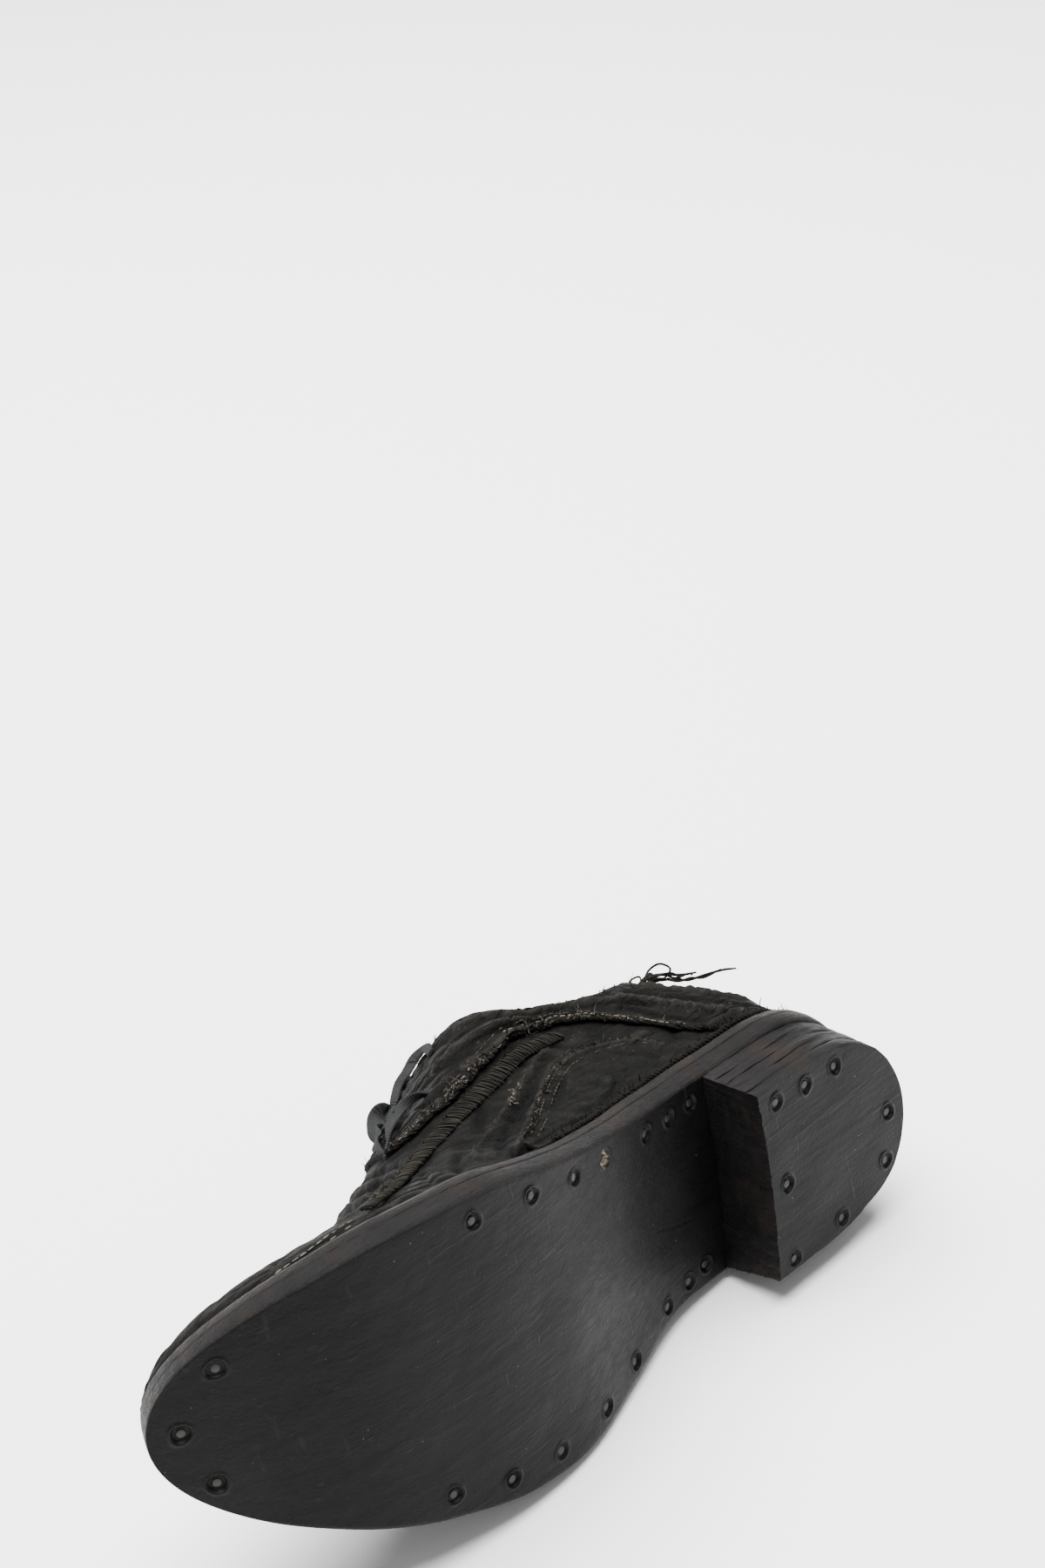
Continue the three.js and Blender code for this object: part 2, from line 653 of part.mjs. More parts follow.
const outerForm = formSolid(0, 0);
const innerForm = formSolid(-WALL, CUTTER_DEPTH);
const upper = cutAll(outerForm, [innerForm, collarCut, throatCutter(0), ...eyeletCuts]);
addPiece('upper', fromManifold(upper), 0x25241f, 0.8);

const quarterOuter = formSolid(OVERLAY_GAP + OVERLAY_THICKNESS, 0);
const quarterShell = quarterOuter.subtract(formSolid(OVERLAY_GAP, CUTTER_DEPTH));
const facingSlot = throatCutter(0.6, THROAT_BASE_AT + VAMP_OPENING_LENGTH);
const quarterCuts = [collarCut, facingSlot, ...eyeletCuts];
const quarters = cutAll(quarterShell.intersect(seamPrism()), quarterCuts);
addPiece('quarters', fromManifold(quarters), 0x2a2925, 0.82);

// Slab on the form between two offsets; path gives u and v for shares a (along) and b (across)
function slab(path, low, high, nAlong, nAcross) {
  const at = (a, b, offset) => {
    const p = path(a, b);
    return formOffset(p.u, p.v, offset(a, b));
  };
  const loops = [];
  const grid = (offset) => {
    const rows = [];
    for (let i = 0; i <= nAlong; i += 1) {
      const row = [];
      for (let j = 0; j <= nAcross; j += 1) row.push(at(i / nAlong, j / nAcross, offset));
      rows.push(row);
    }
    return rows;
  };
  const lower = grid(low);
  const upperRows = grid(high);
  for (let i = 0; i <= nAlong; i += 1) loops.push([...lower[i], ...upperRows[i].reverse()]);
  const triangles = [];
  const n = loops[0].length;
  for (let i = 0; i < nAlong; i += 1) {
    for (let j = 0; j < n; j += 1) {
      const k = (j + 1) % n;
      triangles.push([loops[i][j], loops[i][k], loops[i + 1][k]]);
      triangles.push([loops[i][j], loops[i + 1][k], loops[i + 1][j]]);
    }
  }
  const cap = (loop, front) => {
    for (let j = 0; j < n / 2 - 1; j += 1) {
      const [a, b, c, d] = [loop[j], loop[j + 1], loop[n - 2 - j], loop[n - 1 - j]];
      triangles.push(...(front ? [[a, c, b], [a, d, c]] : [[a, b, c], [a, c, d]]));
    }
  };
  cap(loops[0], true);
  cap(loops[nAlong], false);
  return closedSolid(triangles);
}

// Share of the section on one side of the ridge at a walked distance from it
function vAtDistance(u, distance) {
  let v = 0.5;
  let walked = 0;
  let before = formPoint(u, v);
  const step = distance > 0 ? -0.004 : 0.004;
  while (walked < Math.abs(distance) && v > 0.02 && v < 0.98) {
    v += step;
    const p = formPoint(u, v);
    walked += Math.hypot(p[0] - before[0], p[1] - before[1], p[2] - before[2]);
    before = p;
  }
  return v;
}

// Share of the section on the medial side at a height
function vAtHeight(u, z) {
  let low = 0;
  let high = 0.5;
  for (let k = 0; k < 24; k += 1) {
    const middle = (low + high) / 2;
    if (formPoint(u, middle)[2] < z) low = middle;
    else high = middle;
  }
  return (low + high) / 2;
}

// Whipped seam band under the quarter edge on the medial side: centre line and half width in millimetres
const BAND = [
  { at: 0.27, rise: 0.655, half: 2.2 },
  { at: 0.34, rise: 0.636, half: 2.6 },
  { at: 0.42, rise: 0.575, half: 3.2 },
  { at: 0.49, rise: 0.52, half: 3.6 },
  { at: 0.57, rise: 0.44, half: 3.6 },
  { at: 0.66, rise: 0.285, half: 3.2 },
  { at: 0.72, rise: 0.215, half: 2.6 },
];
const band = slab((a, b) => {
  const at = 0.272 + 0.445 * a;
  const u = uOfX(at * SOLE_LENGTH);
  const v = vAtHeight(u, curve(BAND, 'rise', at) * INSTEP_HEIGHT);
  const here = formPoint(u, v);
  const next = formPoint(u, v + 0.01);
  const reach = Math.hypot(next[1] - here[1], next[2] - here[2]) / 0.01;
  return { u, v: v + ((1 - 2 * b) * curve(BAND, 'half', at)) / reach };
}, () => OVERLAY_GAP, () => OVERLAY_GAP + OVERLAY_THICKNESS, 20, 2);
addPiece('seam_band', fromManifold(band), 0x38342c, 0.9);

// Patch let in over the medial waist: height of its arched upper edge
const PATCH = [
  { at: 0.205, rise: 0.4 },
  { at: 0.215, rise: 0.47 },
  { at: 0.235, rise: 0.54 },
  { at: 0.27, rise: 0.575 },
  { at: 0.31, rise: 0.565 },
  { at: 0.37, rise: 0.48 },
  { at: 0.44, rise: 0.345 },
  { at: 0.5, rise: 0.235 },
];
const PATCH_THICKNESS = 1;
const patch = slab((a, b) => {
  const at = 0.208 + 0.287 * (0.5 - 0.5 * Math.cos(Math.PI * a));
  const u = uOfX(at * SOLE_LENGTH);
  const top = vAtHeight(u, curve(PATCH, 'rise', at) * INSTEP_HEIGHT);
  return { u, v: 0.006 + (top - 0.006) * (1 - b) };
}, () => OVERLAY_GAP, () => OVERLAY_GAP + PATCH_THICKNESS, 14, 6);
addPiece('side_patch', fromManifold(patch), 0x2c2b27, 0.8);

const tongueTopAt = THROAT_TOP_AT - TONGUE_RISE * 0.75;
const tongueBaseAt = THROAT_BASE_AT + TONGUE_UNDERLAP;
const tongue = slab((a, b) => {
  const u = uOfX(tongueTopAt + (tongueBaseAt - tongueTopAt) * a);
  const half = (TONGUE_WIDTH / 2) * (0.86 + 0.14 * Math.min(a * 4, 1));
  return { u, v: vAtDistance(u, half * (1 - 2 * b)) };
}, () => -WALL - TONGUE_CLEARANCE - TONGUE_THICKNESS, () => -WALL - TONGUE_CLEARANCE, 12, 10);
addPiece('tongue', fromManifold(tongue), 0x2b2a28, 0.85);

// Lace bars: slack straps from eyelet to eyelet over the throat, the lowest one the loosest
const LACE_SLACK = [0.5, 1, 2.5, 1.5];
for (let row = 0; row < EYELET_COUNT; row += 1) {
  const medial = eyeletSpot(row, 1);
  const lateral = eyeletSpot(row, -1);
  const speed = (formPoint(medial.u + 0.005, 0.5)[0] - formPoint(medial.u - 0.005, 0.5)[0]) / 0.01;
  const half = LACE_WIDTH / 2 / speed;
  const rise = (b) => OVERLAY_GAP + OVERLAY_THICKNESS + LACE_LIFT + LACE_SLACK[row] * Math.sin(Math.PI * b);
  const bar = slab((a, b) => ({
    u: medial.u + half * (2 * a - 1),
    v: medial.v + (lateral.v - medial.v) * b,
  }), (a, b) => rise(b), (a, b) => rise(b) + LACE_THICKNESS, 2, 10);
  addPiece(`lace_bar_${row + 1}`, fromManifold(bar), 0x4a4a4a, 0.9);
}

// Insole: the floor inside the upper
function insoleLoop(height, count = 28) {
  const points = [];
  const xs = [];
  for (let k = 0; k <= count; k += 1) xs.push(0.03 + (0.94 * k) / count);
  const inset = -WALL - INSOLE_CLEARANCE;
  const put = (u, v) => {
    const p = formOffset(u, v, inset);
    return [p[0], p[1], featherAt(p[0]) + height];
  };
  const loop = xs.map((u) => put(u, 0)).concat(xs.map((u) => put(u, 1)).reverse());
  points.push(...loop);
  return points;
}

function insoleSolid() {
  const low = insoleLoop(FIT_GAP);
  const high = insoleLoop(FIT_GAP + INSOLE_THICKNESS);
  const n = low.length;
  const triangles = [];
  for (let i = 0; i < n; i += 1) {
    const k = (i + 1) % n;
    triangles.push([low[i], low[k], high[k]], [low[i], high[k], high[i]]);
  }
  for (let i = 0; i < n / 2 - 1; i += 1) {
    const [a, b, c, d] = [i, i + 1, n - 2 - i, n - 1 - i];
    triangles.push([low[a], low[c], low[b]], [low[a], low[d], low[c]]);
    triangles.push([high[a], high[b], high[c]], [high[a], high[c], high[d]]);
  }
  return closedSolid(triangles);
}
addPiece('insole', fromManifold(insoleSolid()), 0x3b3128, 0.85);

// Laid on the lateral side: the stable face of the hull whose outward normal is nearest to that side
function layDown(pieces) {
  const points = [];
  const centre = new THREE.Vector3();
  let whole = 0;
  pieces.forEach((mesh) => {
    const position = mesh.geometry.attributes.position;
    const index = mesh.geometry.index.array;
    for (let i = 0; i < position.count; i += 1) points.push(new THREE.Vector3().fromBufferAttribute(position, i));
    for (let i = 0; i < index.length; i += 3) {
      const a = new THREE.Vector3().fromBufferAttribute(position, index[i]);
      const b = new THREE.Vector3().fromBufferAttribute(position, index[i + 1]);
      const c = new THREE.Vector3().fromBufferAttribute(position, index[i + 2]);
      const share = a.dot(b.clone().cross(c)) / 6;
      whole += share;
      centre.addScaledVector(a.add(b).add(c), share / 4);
    }
  });
  centre.divideScalar(whole);
  const hull = new ConvexHull().setFromPoints(points);
  let best = null;
  hull.faces.forEach((face) => {
    const n = face.normal;
    const edges = [face.edge, face.edge.next, face.edge.next.next];
    const foot = centre.clone().addScaledVector(n, -(n.dot(centre) - face.constant));
    const inside = edges.every((e) => {
      const from = e.tail().point;
      const along = e.head().point.clone().sub(from);
      return along.cross(foot.clone().sub(from)).dot(n) >= 0;
    });
    if (inside && (best === null || n.y < best.y)) best = n.clone();
  });
  const up = best.clone().negate();
  const along = new THREE.Vector3(1, 0, 0).addScaledVector(up, -up.x).normalize();
  const across = up.clone().cross(along);
  const pose = new THREE.Matrix4().makeBasis(along, across, up).transpose();
  pieces.forEach((mesh) => mesh.geometry.applyMatrix4(pose));
  const box = new THREE.Box3();
  pieces.forEach((mesh) => {
    mesh.geometry.computeBoundingBox();
    box.union(mesh.geometry.boundingBox);
  });
  const middle = box.getCenter(new THREE.Vector3());
  pieces.forEach((mesh) => {
    mesh.geometry.translate(-middle.x, -middle.y, -box.min.z);
    mesh.geometry.computeVertexNormals();
  });
}
layDown(group.children);

export default group;
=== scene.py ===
"""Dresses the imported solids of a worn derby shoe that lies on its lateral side.

Lengths are millimetres in the shoe's own standing frame: X from heel to toe, +Y medial, Z up from
the tread. standing_to_floor() lays them down and turns them into the frame's metres.
"""

import json
import math
import random

import bpy
import numpy as np
from mathutils import Matrix, Vector


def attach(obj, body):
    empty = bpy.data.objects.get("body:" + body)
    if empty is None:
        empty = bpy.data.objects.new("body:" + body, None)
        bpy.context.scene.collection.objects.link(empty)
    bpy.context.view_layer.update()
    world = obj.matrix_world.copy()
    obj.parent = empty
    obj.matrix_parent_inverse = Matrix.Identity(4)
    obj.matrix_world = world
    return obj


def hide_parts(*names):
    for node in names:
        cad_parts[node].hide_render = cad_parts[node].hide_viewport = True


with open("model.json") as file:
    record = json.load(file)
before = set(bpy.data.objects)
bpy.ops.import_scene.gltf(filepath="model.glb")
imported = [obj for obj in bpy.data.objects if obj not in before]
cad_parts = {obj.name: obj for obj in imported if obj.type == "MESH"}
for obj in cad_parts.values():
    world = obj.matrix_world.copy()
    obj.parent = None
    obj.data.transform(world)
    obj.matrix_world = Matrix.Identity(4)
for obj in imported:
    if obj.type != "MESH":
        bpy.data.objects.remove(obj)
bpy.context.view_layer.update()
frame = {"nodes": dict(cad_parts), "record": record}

bl_info = {
    "name": "Worn derby shoe",
    "version": (1, 0, 0),
    "blender": (4, 5, 0),
    "location": "3D View > Sidebar > Shoe",
    "description": "Creased leather, stacked heel, nailed sole, lace and frayed seams of a derby shoe",
    "category": "Object",
}

# ---------------------------------------------------------------- sizes of the shoe, in millimetres
SOLE_LENGTH = 300
BALL_WIDTH = 103.6
INSTEP_HEIGHT = 120
HEEL_HEIGHT = 23.4
HEEL_BREAST_AT = 72
HEEL_TAPER = 1.8
BREAST_HOLLOW = 1.6
BREAST_LEAN = 0.5
TOP_LIFT_THICKNESS = 5
LIFT_COUNT = 4
OUTSOLE_THICKNESS = 5.6
MIDSOLE_THICKNESS = 5.2
TREAD_BEVEL = 2.3
TOE_TRIM = 0.8
TOE_TRIM_AT = 0.82
FIT_GAP = 0.3
UPPER_LIFT = 0.45
WALL = 2.2
EYELET_COUNT = 4
EYELET_DIAMETER = 4
EYELET_EDGE_DISTANCE = 8
THROAT_WIDTH = 15
THROAT_BASE_AT = 147
THROAT_TOP_AT = 102
TONGUE_THICKNESS = 2
TONGUE_WIDTH = 44
TONGUE_CLEARANCE = 0.9
TONGUE_RISE = 9
OVERLAY_GAP = 0.55
OVERLAY_THICKNESS = 1.3
PATCH_THICKNESS = 1
HEEL_ROUND = 0.137
HEEL_POWER = 2.25
TOE_ROUND = 0.26
TOE_POWER = 2
TOE_CREST_ROUND = 0.1
FORM_HEEL_AT = 4.5
FORM_TOE_INSET = 9
HEEL_BACK_LEAN = 9
FULL_SHARE = 0.3
SHOULDER_SHARE = 0.7
MIDSOLE_BASE = OUTSOLE_THICKNESS + FIT_GAP
SOLE_TOP = MIDSOLE_BASE + MIDSOLE_THICKNESS
FORM_TOE = SOLE_LENGTH - FORM_TOE_INSET
QUARTER_LIFT = OVERLAY_GAP + OVERLAY_THICKNESS
# The worn leather stands off the last under the medial collar
COLLAR_SLACK = 7.5
SEED = 11

# Shares of the length (at) and of the ball width
OUTLINE = {
    "at": [0, 0.08, 0.16, 0.25, 0.34, 0.433, 0.533, 0.633, 0.733, 0.833, 0.907, 1],
    "centre": [-0.003, 0.012, 0, -0.008, -0.004, -0.005, 0.004, 0.043, 0.084, 0.12, 0.14, 0.16],
    "half": [0.336, 0.332, 0.341, 0.344, 0.352, 0.403, 0.468, 0.5, 0.472, 0.434, 0.421, 0.415],
}
# Shares of the heel height
TREAD = {
    "at": [0, 0.24, 0.333, 0.433, 0.533, 0.62, 0.7, 0.8, 0.9, 1],
    "rise": [1.05, 1, 0.867, 0.493, 0.124, 0, 0.03, 0.222, 0.73, 1.52],
}
# Crest as a share of the instep height; ridge and half widths (m medial, l lateral) of the ball width
FORM = {
    "at": [0, 0.12, 0.25, 0.34, 0.43, 0.53, 0.633, 0.733, 0.833, 0.92, 1],
    "crest": [1.3, 1.3, 1.3, 1.11, 0.955, 0.79, 0.64, 0.525, 0.47, 0.475, 0.55],
    "ridge": [0.02, 0.03, 0.06, 0.1, 0.135, 0.16, 0.16, 0.15, 0.155, 0.165, 0.165],
    "m_foot": [0.325, 0.33, 0.332, 0.338, 0.385, 0.45, 0.483, 0.457, 0.42, 0.4, 0.4],
    "m_full": [0.335, 0.345, 0.35, 0.37, 0.395, 0.43, 0.445, 0.425, 0.405, 0.405, 0.4],
    "m_high": [0.28, 0.285, 0.305, 0.4, 0.4, 0.355, 0.315, 0.295, 0.295, 0.3, 0.3],
    "l_foot": [0.325, 0.325, 0.322, 0.33, 0.38, 0.45, 0.483, 0.457, 0.42, 0.4, 0.4],
    "l_full": [0.3, 0.275, 0.26, 0.275, 0.325, 0.4, 0.45, 0.43, 0.4, 0.39, 0.37],
    "l_high": [0.225, 0.2, 0.19, 0.185, 0.19, 0.22, 0.26, 0.28, 0.28, 0.27, 0.265],
}
SECTION_AT = [0, 0.17, 0.34, 0.5, 0.66, 0.83, 1]
# Heights as shares of the instep height
COLLAR = {
    "at": [-0.1, 0.03, 0.12, 0.2, 0.28, 0.33, 0.37, 0.39],
    "rise": [0.88, 0.86, 0.775, 0.785, 0.865, 0.96, 1.09, 1.3],
}
SEAM = {
    "at": [-0.1, 0.1, 0.15, 0.175, 0.185, 0.21, 0.25, 0.29, 0.34, 0.41, 0.45, 0.49, 0.52, 0.54],
    "rise": [0.26, 0.3, 0.345, 0.45, 0.55, 0.64, 0.69, 0.7, 0.685, 0.64, 0.612, 0.605, 0.625, 0.66],
}
QUARTER_FRONT = {"at": [0.5, 0.515, 0.535, 0.54], "rise": [1.3, 0.92, 0.75, 0.665]}
BAND = {
    "at": [0.27, 0.34, 0.42, 0.49, 0.57, 0.66, 0.72],
    "rise": [0.655, 0.636, 0.575, 0.52, 0.44, 0.285, 0.215],
    "half": [2.2, 2.6, 3.2, 3.6, 3.6, 3.2, 2.6],
}
PATCH = {
    "at": [0.205, 0.215, 0.235, 0.27, 0.31, 0.37, 0.44, 0.5],
    "rise": [0.4, 0.47, 0.54, 0.575, 0.565, 0.48, 0.345, 0.235],
}
# Place along the length, and across as a share of the half width, plus is medial
SOLE_NAILS = [
    (0.935, 0.72), (0.972, 0.1), (0.952, -0.64), (0.659, 0.85), (0.575, 0.86), (0.502, 0.86),
    (0.439, 0.86), (0.35, 0.83), (0.305, 0.82), (0.265, 0.82), (0.735, -0.85), (0.662, -0.87),
    (0.59, -0.86), (0.506, -0.87), (0.437, -0.88), (0.354, -0.87), (0.308, -0.85), (0.276, -0.81),
]
HEEL_NAILS = [
    (0.212, 0.78), (0.163, 0.76), (0.113, 0.76), (0.034, -0.05),
    (0.046, -0.66), (0.129, -0.8), (0.213, -0.84), (0.21, -0.07),
]

# The sole nail whose dimple is torn to the raw leather
RAW_NAIL = 6

# Creases of the medial and lateral sides: path in shares of the length and of the instep height,
# depth (minus is a trough) and half width in millimetres
VAMP_CREASES = [
    (1, [(0.56, 0.2), (0.544, 0.292), (0.465, 0.417), (0.377, 0.541), (0.309, 0.628), (0.261, 0.655)], 1.0, 1.3),
    (1, [(0.53, 0.17), (0.51, 0.22), (0.445, 0.354), (0.377, 0.476), (0.329, 0.555), (0.289, 0.592)], 1.1, 1.4),
    (1, [(0.545, 0.19), (0.49, 0.33), (0.42, 0.44), (0.36, 0.52)], -1.0, 2.2),
    (1, [(0.5, 0.4), (0.47, 0.47), (0.44, 0.53)], -0.8, 1.8),
    (1, [(0.53, 0.19), (0.5, 0.205), (0.47, 0.235), (0.43, 0.25)], -2.2, 2.6),
    (1, [(0.6, 0.19), (0.58, 0.26), (0.55, 0.34)], -1.0, 2.0),
    (1, [(0.64, 0.17), (0.63, 0.24), (0.605, 0.33)], -0.7, 1.8),
    (1, [(0.6, 0.45), (0.64, 0.4), (0.69, 0.32), (0.74, 0.27)], 0.8, 1.5),
    (1, [(0.58, 0.56), (0.64, 0.47), (0.7, 0.38), (0.77, 0.32)], -1.1, 2.6),
    (1, [(0.66, 0.5), (0.72, 0.42), (0.79, 0.35)], -0.9, 2.4),
    (1, [(0.7, 0.17), (0.78, 0.17), (0.86, 0.21), (0.92, 0.27)], 0.7, 1.1),
    (1, [(0.72, 0.2), (0.79, 0.205), (0.86, 0.24)], 0.5, 0.9),
    (-1, [(0.5, 0.2), (0.48, 0.33), (0.44, 0.45), (0.4, 0.55)], -1.0, 2.4),
    (-1, [(0.44, 0.22), (0.42, 0.34), (0.38, 0.46)], -0.9, 2.2),
    (-1, [(0.55, 0.19), (0.55, 0.3), (0.52, 0.42)], 0.8, 1.7),
    (-1, [(0.6, 0.16), (0.61, 0.26), (0.6, 0.36), (0.57, 0.48)], -1.0, 2.3),
    (-1, [(0.66, 0.16), (0.67, 0.26), (0.66, 0.38)], -0.8, 2.0),
    (-1, [(0.38, 0.25), (0.34, 0.38), (0.3, 0.5), (0.25, 0.6)], 0.8, 1.6),
    (-1, [(0.32, 0.26), (0.28, 0.4), (0.23, 0.52)], -0.9, 2.2),
    (-1, [(0.72, 0.17), (0.8, 0.17), (0.88, 0.23)], 0.6, 1.1),
]
# Flex creases over the vamp: path in shares of the length and of the section (0 medial, 1 lateral)
FLEX_CREASES = [
    ([(0.575, 0.24), (0.565, 0.38), (0.575, 0.5), (0.56, 0.64), (0.575, 0.8)], -1.4, 2.6),
    ([(0.61, 0.22), (0.6, 0.36), (0.612, 0.5), (0.6, 0.66), (0.615, 0.82)], -1.5, 2.4),
    ([(0.645, 0.26), (0.64, 0.4), (0.648, 0.5), (0.64, 0.62), (0.65, 0.76)], -1.3, 2.3),
    ([(0.68, 0.3), (0.672, 0.42), (0.682, 0.55), (0.676, 0.7)], -1.0, 2.4),
    ([(0.72, 0.34), (0.715, 0.45), (0.722, 0.58), (0.718, 0.68)], -0.7, 2.6),
    ([(0.592, 0.3), (0.585, 0.45), (0.592, 0.58), (0.585, 0.7)], 0.8, 2.2),
    ([(0.628, 0.3), (0.622, 0.46), (0.63, 0.6), (0.626, 0.7)], 0.8, 2.0),
    ([(0.77, 0.4), (0.8, 0.46), (0.84, 0.5), (0.88, 0.56)], -0.5, 3.0),
]
QUARTER_CREASES = [
    (1, [(0.472, 0.69), (0.404, 0.67), (0.36, 0.685), (0.312, 0.705), (0.25, 0.705)], 0.8, 1.6),
    (1, [(0.437, 0.765), (0.395, 0.743), (0.325, 0.735), (0.26, 0.725), (0.2, 0.68)], -1.3, 1.9),
    (1, [(0.425, 0.79), (0.38, 0.77), (0.32, 0.755), (0.25, 0.745), (0.19, 0.705), (0.153, 0.6)], 1.2, 1.6),
    (1, [(0.4, 0.84), (0.34, 0.785), (0.27, 0.755), (0.21, 0.725), (0.165, 0.66), (0.15, 0.57)], -1.4, 1.8),
    (1, [(0.375, 0.91), (0.33, 0.84), (0.27, 0.785), (0.2, 0.735), (0.15, 0.68)], 1.1, 1.6),
    (1, [(0.16, 0.73), (0.15, 0.64), (0.14, 0.54), (0.13, 0.44), (0.11, 0.37)], 1.2, 1.5),
    (1, [(0.13, 0.74), (0.125, 0.62), (0.115, 0.5), (0.09, 0.4), (0.06, 0.36)], -1.3, 2.0),
    (1, [(0.1, 0.76), (0.1, 0.64), (0.085, 0.5), (0.05, 0.42)], 1.0, 1.7),
    (1, [(0.07, 0.8), (0.07, 0.68), (0.055, 0.55), (0.03, 0.48)], -1.0, 1.9),
    (1, [(0.172, 0.66), (0.168, 0.56), (0.16, 0.45), (0.145, 0.38)], -1.0, 1.6),
    (1, [(0.44, 0.86), (0.42, 0.8), (0.4, 0.74), (0.37, 0.7)], -0.9, 1.8),
    (1, [(0.5, 0.72), (0.47, 0.76), (0.45, 0.82), (0.43, 0.9)], -0.8, 1.7),
    (1, [(0.49, 0.64), (0.45, 0.66), (0.41, 0.68)], -0.7, 1.6),
    (-1, [(0.44, 0.78), (0.38, 0.75), (0.3, 0.74), (0.22, 0.7), (0.16, 0.6)], -1.2, 2.0),
    (-1, [(0.42, 0.84), (0.36, 0.8), (0.28, 0.77), (0.2, 0.72), (0.14, 0.62)], 1.0, 1.7),
    (-1, [(0.38, 0.9), (0.32, 0.84), (0.25, 0.78), (0.17, 0.7)], -1.1, 1.9),
    (-1, [(0.48, 0.68), (0.42, 0.7), (0.35, 0.72)], 0.7, 1.6),
    (-1, [(0.13, 0.72), (0.12, 0.6), (0.1, 0.46), (0.07, 0.38)], -1.1, 2.1),
    (-1, [(0.09, 0.78), (0.085, 0.64), (0.06, 0.5), (0.03, 0.44)], 0.9, 1.8),
]
PATCH_CREASES = [
    (1, [(0.338, 0.52), (0.3, 0.55), (0.257, 0.545), (0.225, 0.49), (0.215, 0.42)], 0.6, 1.1),
    (1, [(0.29, 0.42), (0.308, 0.35), (0.349, 0.305), (0.406, 0.29)], -0.7, 1.8),
    (1, [(0.494, 0.21), (0.45, 0.235), (0.385, 0.262), (0.313, 0.289), (0.26, 0.32)], -1.0, 1.7),
    (1, [(0.42, 0.34), (0.37, 0.42), (0.33, 0.5)], -0.6, 1.6),
    (1, [(0.26, 0.5), (0.24, 0.42), (0.235, 0.36)], -0.5, 1.6),
]

# Camera of the photograph in the standing shoe's frame
EYE = (703.2, 470.6, -606.1)
EYE_RIGHT = (-0.6968, -0.141, -0.7032)
EYE_DOWN = (0.34, -0.9283, -0.1507)
LENS_MM = 69.5
SENSOR_MM = 36


# ---------------------------------------------------------------- the form of the last
def curve(at_rows, values, at):
    """Smooth curve through the rows of a table; values may hold a row of its own for each place."""
    rows = np.asarray(at_rows, float)
    values = np.asarray(values, float)
    at = np.clip(np.asarray(at, float), rows[0], rows[-1])
    last = len(rows) - 1
    i = np.clip(np.searchsorted(rows, at, side="right") - 1, 0, last - 1)
    before = np.maximum(np.arange(last + 1) - 1, 0)
    after = np.minimum(np.arange(last + 1) + 1, last)
    slopes = (values[..., after] - values[..., before]) / (rows[after] - rows[before])

    def pick(array, k):
        return array[k] if array.ndim == 1 else array[np.arange(len(k)), k]

    span = rows[i + 1] - rows[i]
    t = (at - rows[i]) / span
    return (
        (2 * t**3 - 3 * t**2 + 1) * pick(values, i)
        + (t**3 - 2 * t**2 + t) * span * pick(slopes, i)
        + (3 * t**2 - 2 * t**3) * pick(values, i + 1)
        + (t**3 - t**2) * span * pick(slopes, i + 1)
    )


def table(rows, key, x):
    """A table's curve at a place along the shoe."""
    return curve(rows["at"], rows[key], np.asarray(x, float) / SOLE_LENGTH)


def round_end(distance, radius, power):
    u = np.clip(1 - np.asarray(distance, float) / radius, 0, 1)
    return np.maximum(1 - u**power, 0) ** (1 / power)


def outline(x):
    """Centre line and half width of the sole."""
    ends = round_end(x, HEEL_ROUND * SOLE_LENGTH, HEEL_POWER) * round_end(
        SOLE_LENGTH - np.asarray(x, float), TOE_ROUND * SOLE_LENGTH, TOE_POWER
    )
    return table(OUTLINE, "centre", x) * BALL_WIDTH, table(OUTLINE, "half", x) * BALL_WIDTH * ends


def tread(x):
    """Height of the tread, and its slope."""
    inside = np.clip(x, 0.5, SOLE_LENGTH - 0.5)
    rise = table(TREAD, "rise", inside + 0.5) - table(TREAD, "rise", inside - 0.5)
    return table(TREAD, "rise", x) * HEEL_HEIGHT, rise * HEEL_HEIGHT


def feather(x):
    """Height of the line where the upper meets the sole."""
    height, slope = tread(x)
    return height + (SOLE_TOP + UPPER_LIFT) * np.hypot(1, slope)


def u_of_x(x):
    share = np.clip((np.asarray(x, float) - FORM_HEEL_AT) / (FORM_TOE - FORM_HEEL_AT), 0, 1)
    return np.arccos(1 - 2 * share) / math.pi


def x_of_u(u):
    return FORM_HEEL_AT + (FORM_TOE - FORM_HEEL_AT) * (0.5 - 0.5 * np.cos(math.pi * np.asarray(u, float)))


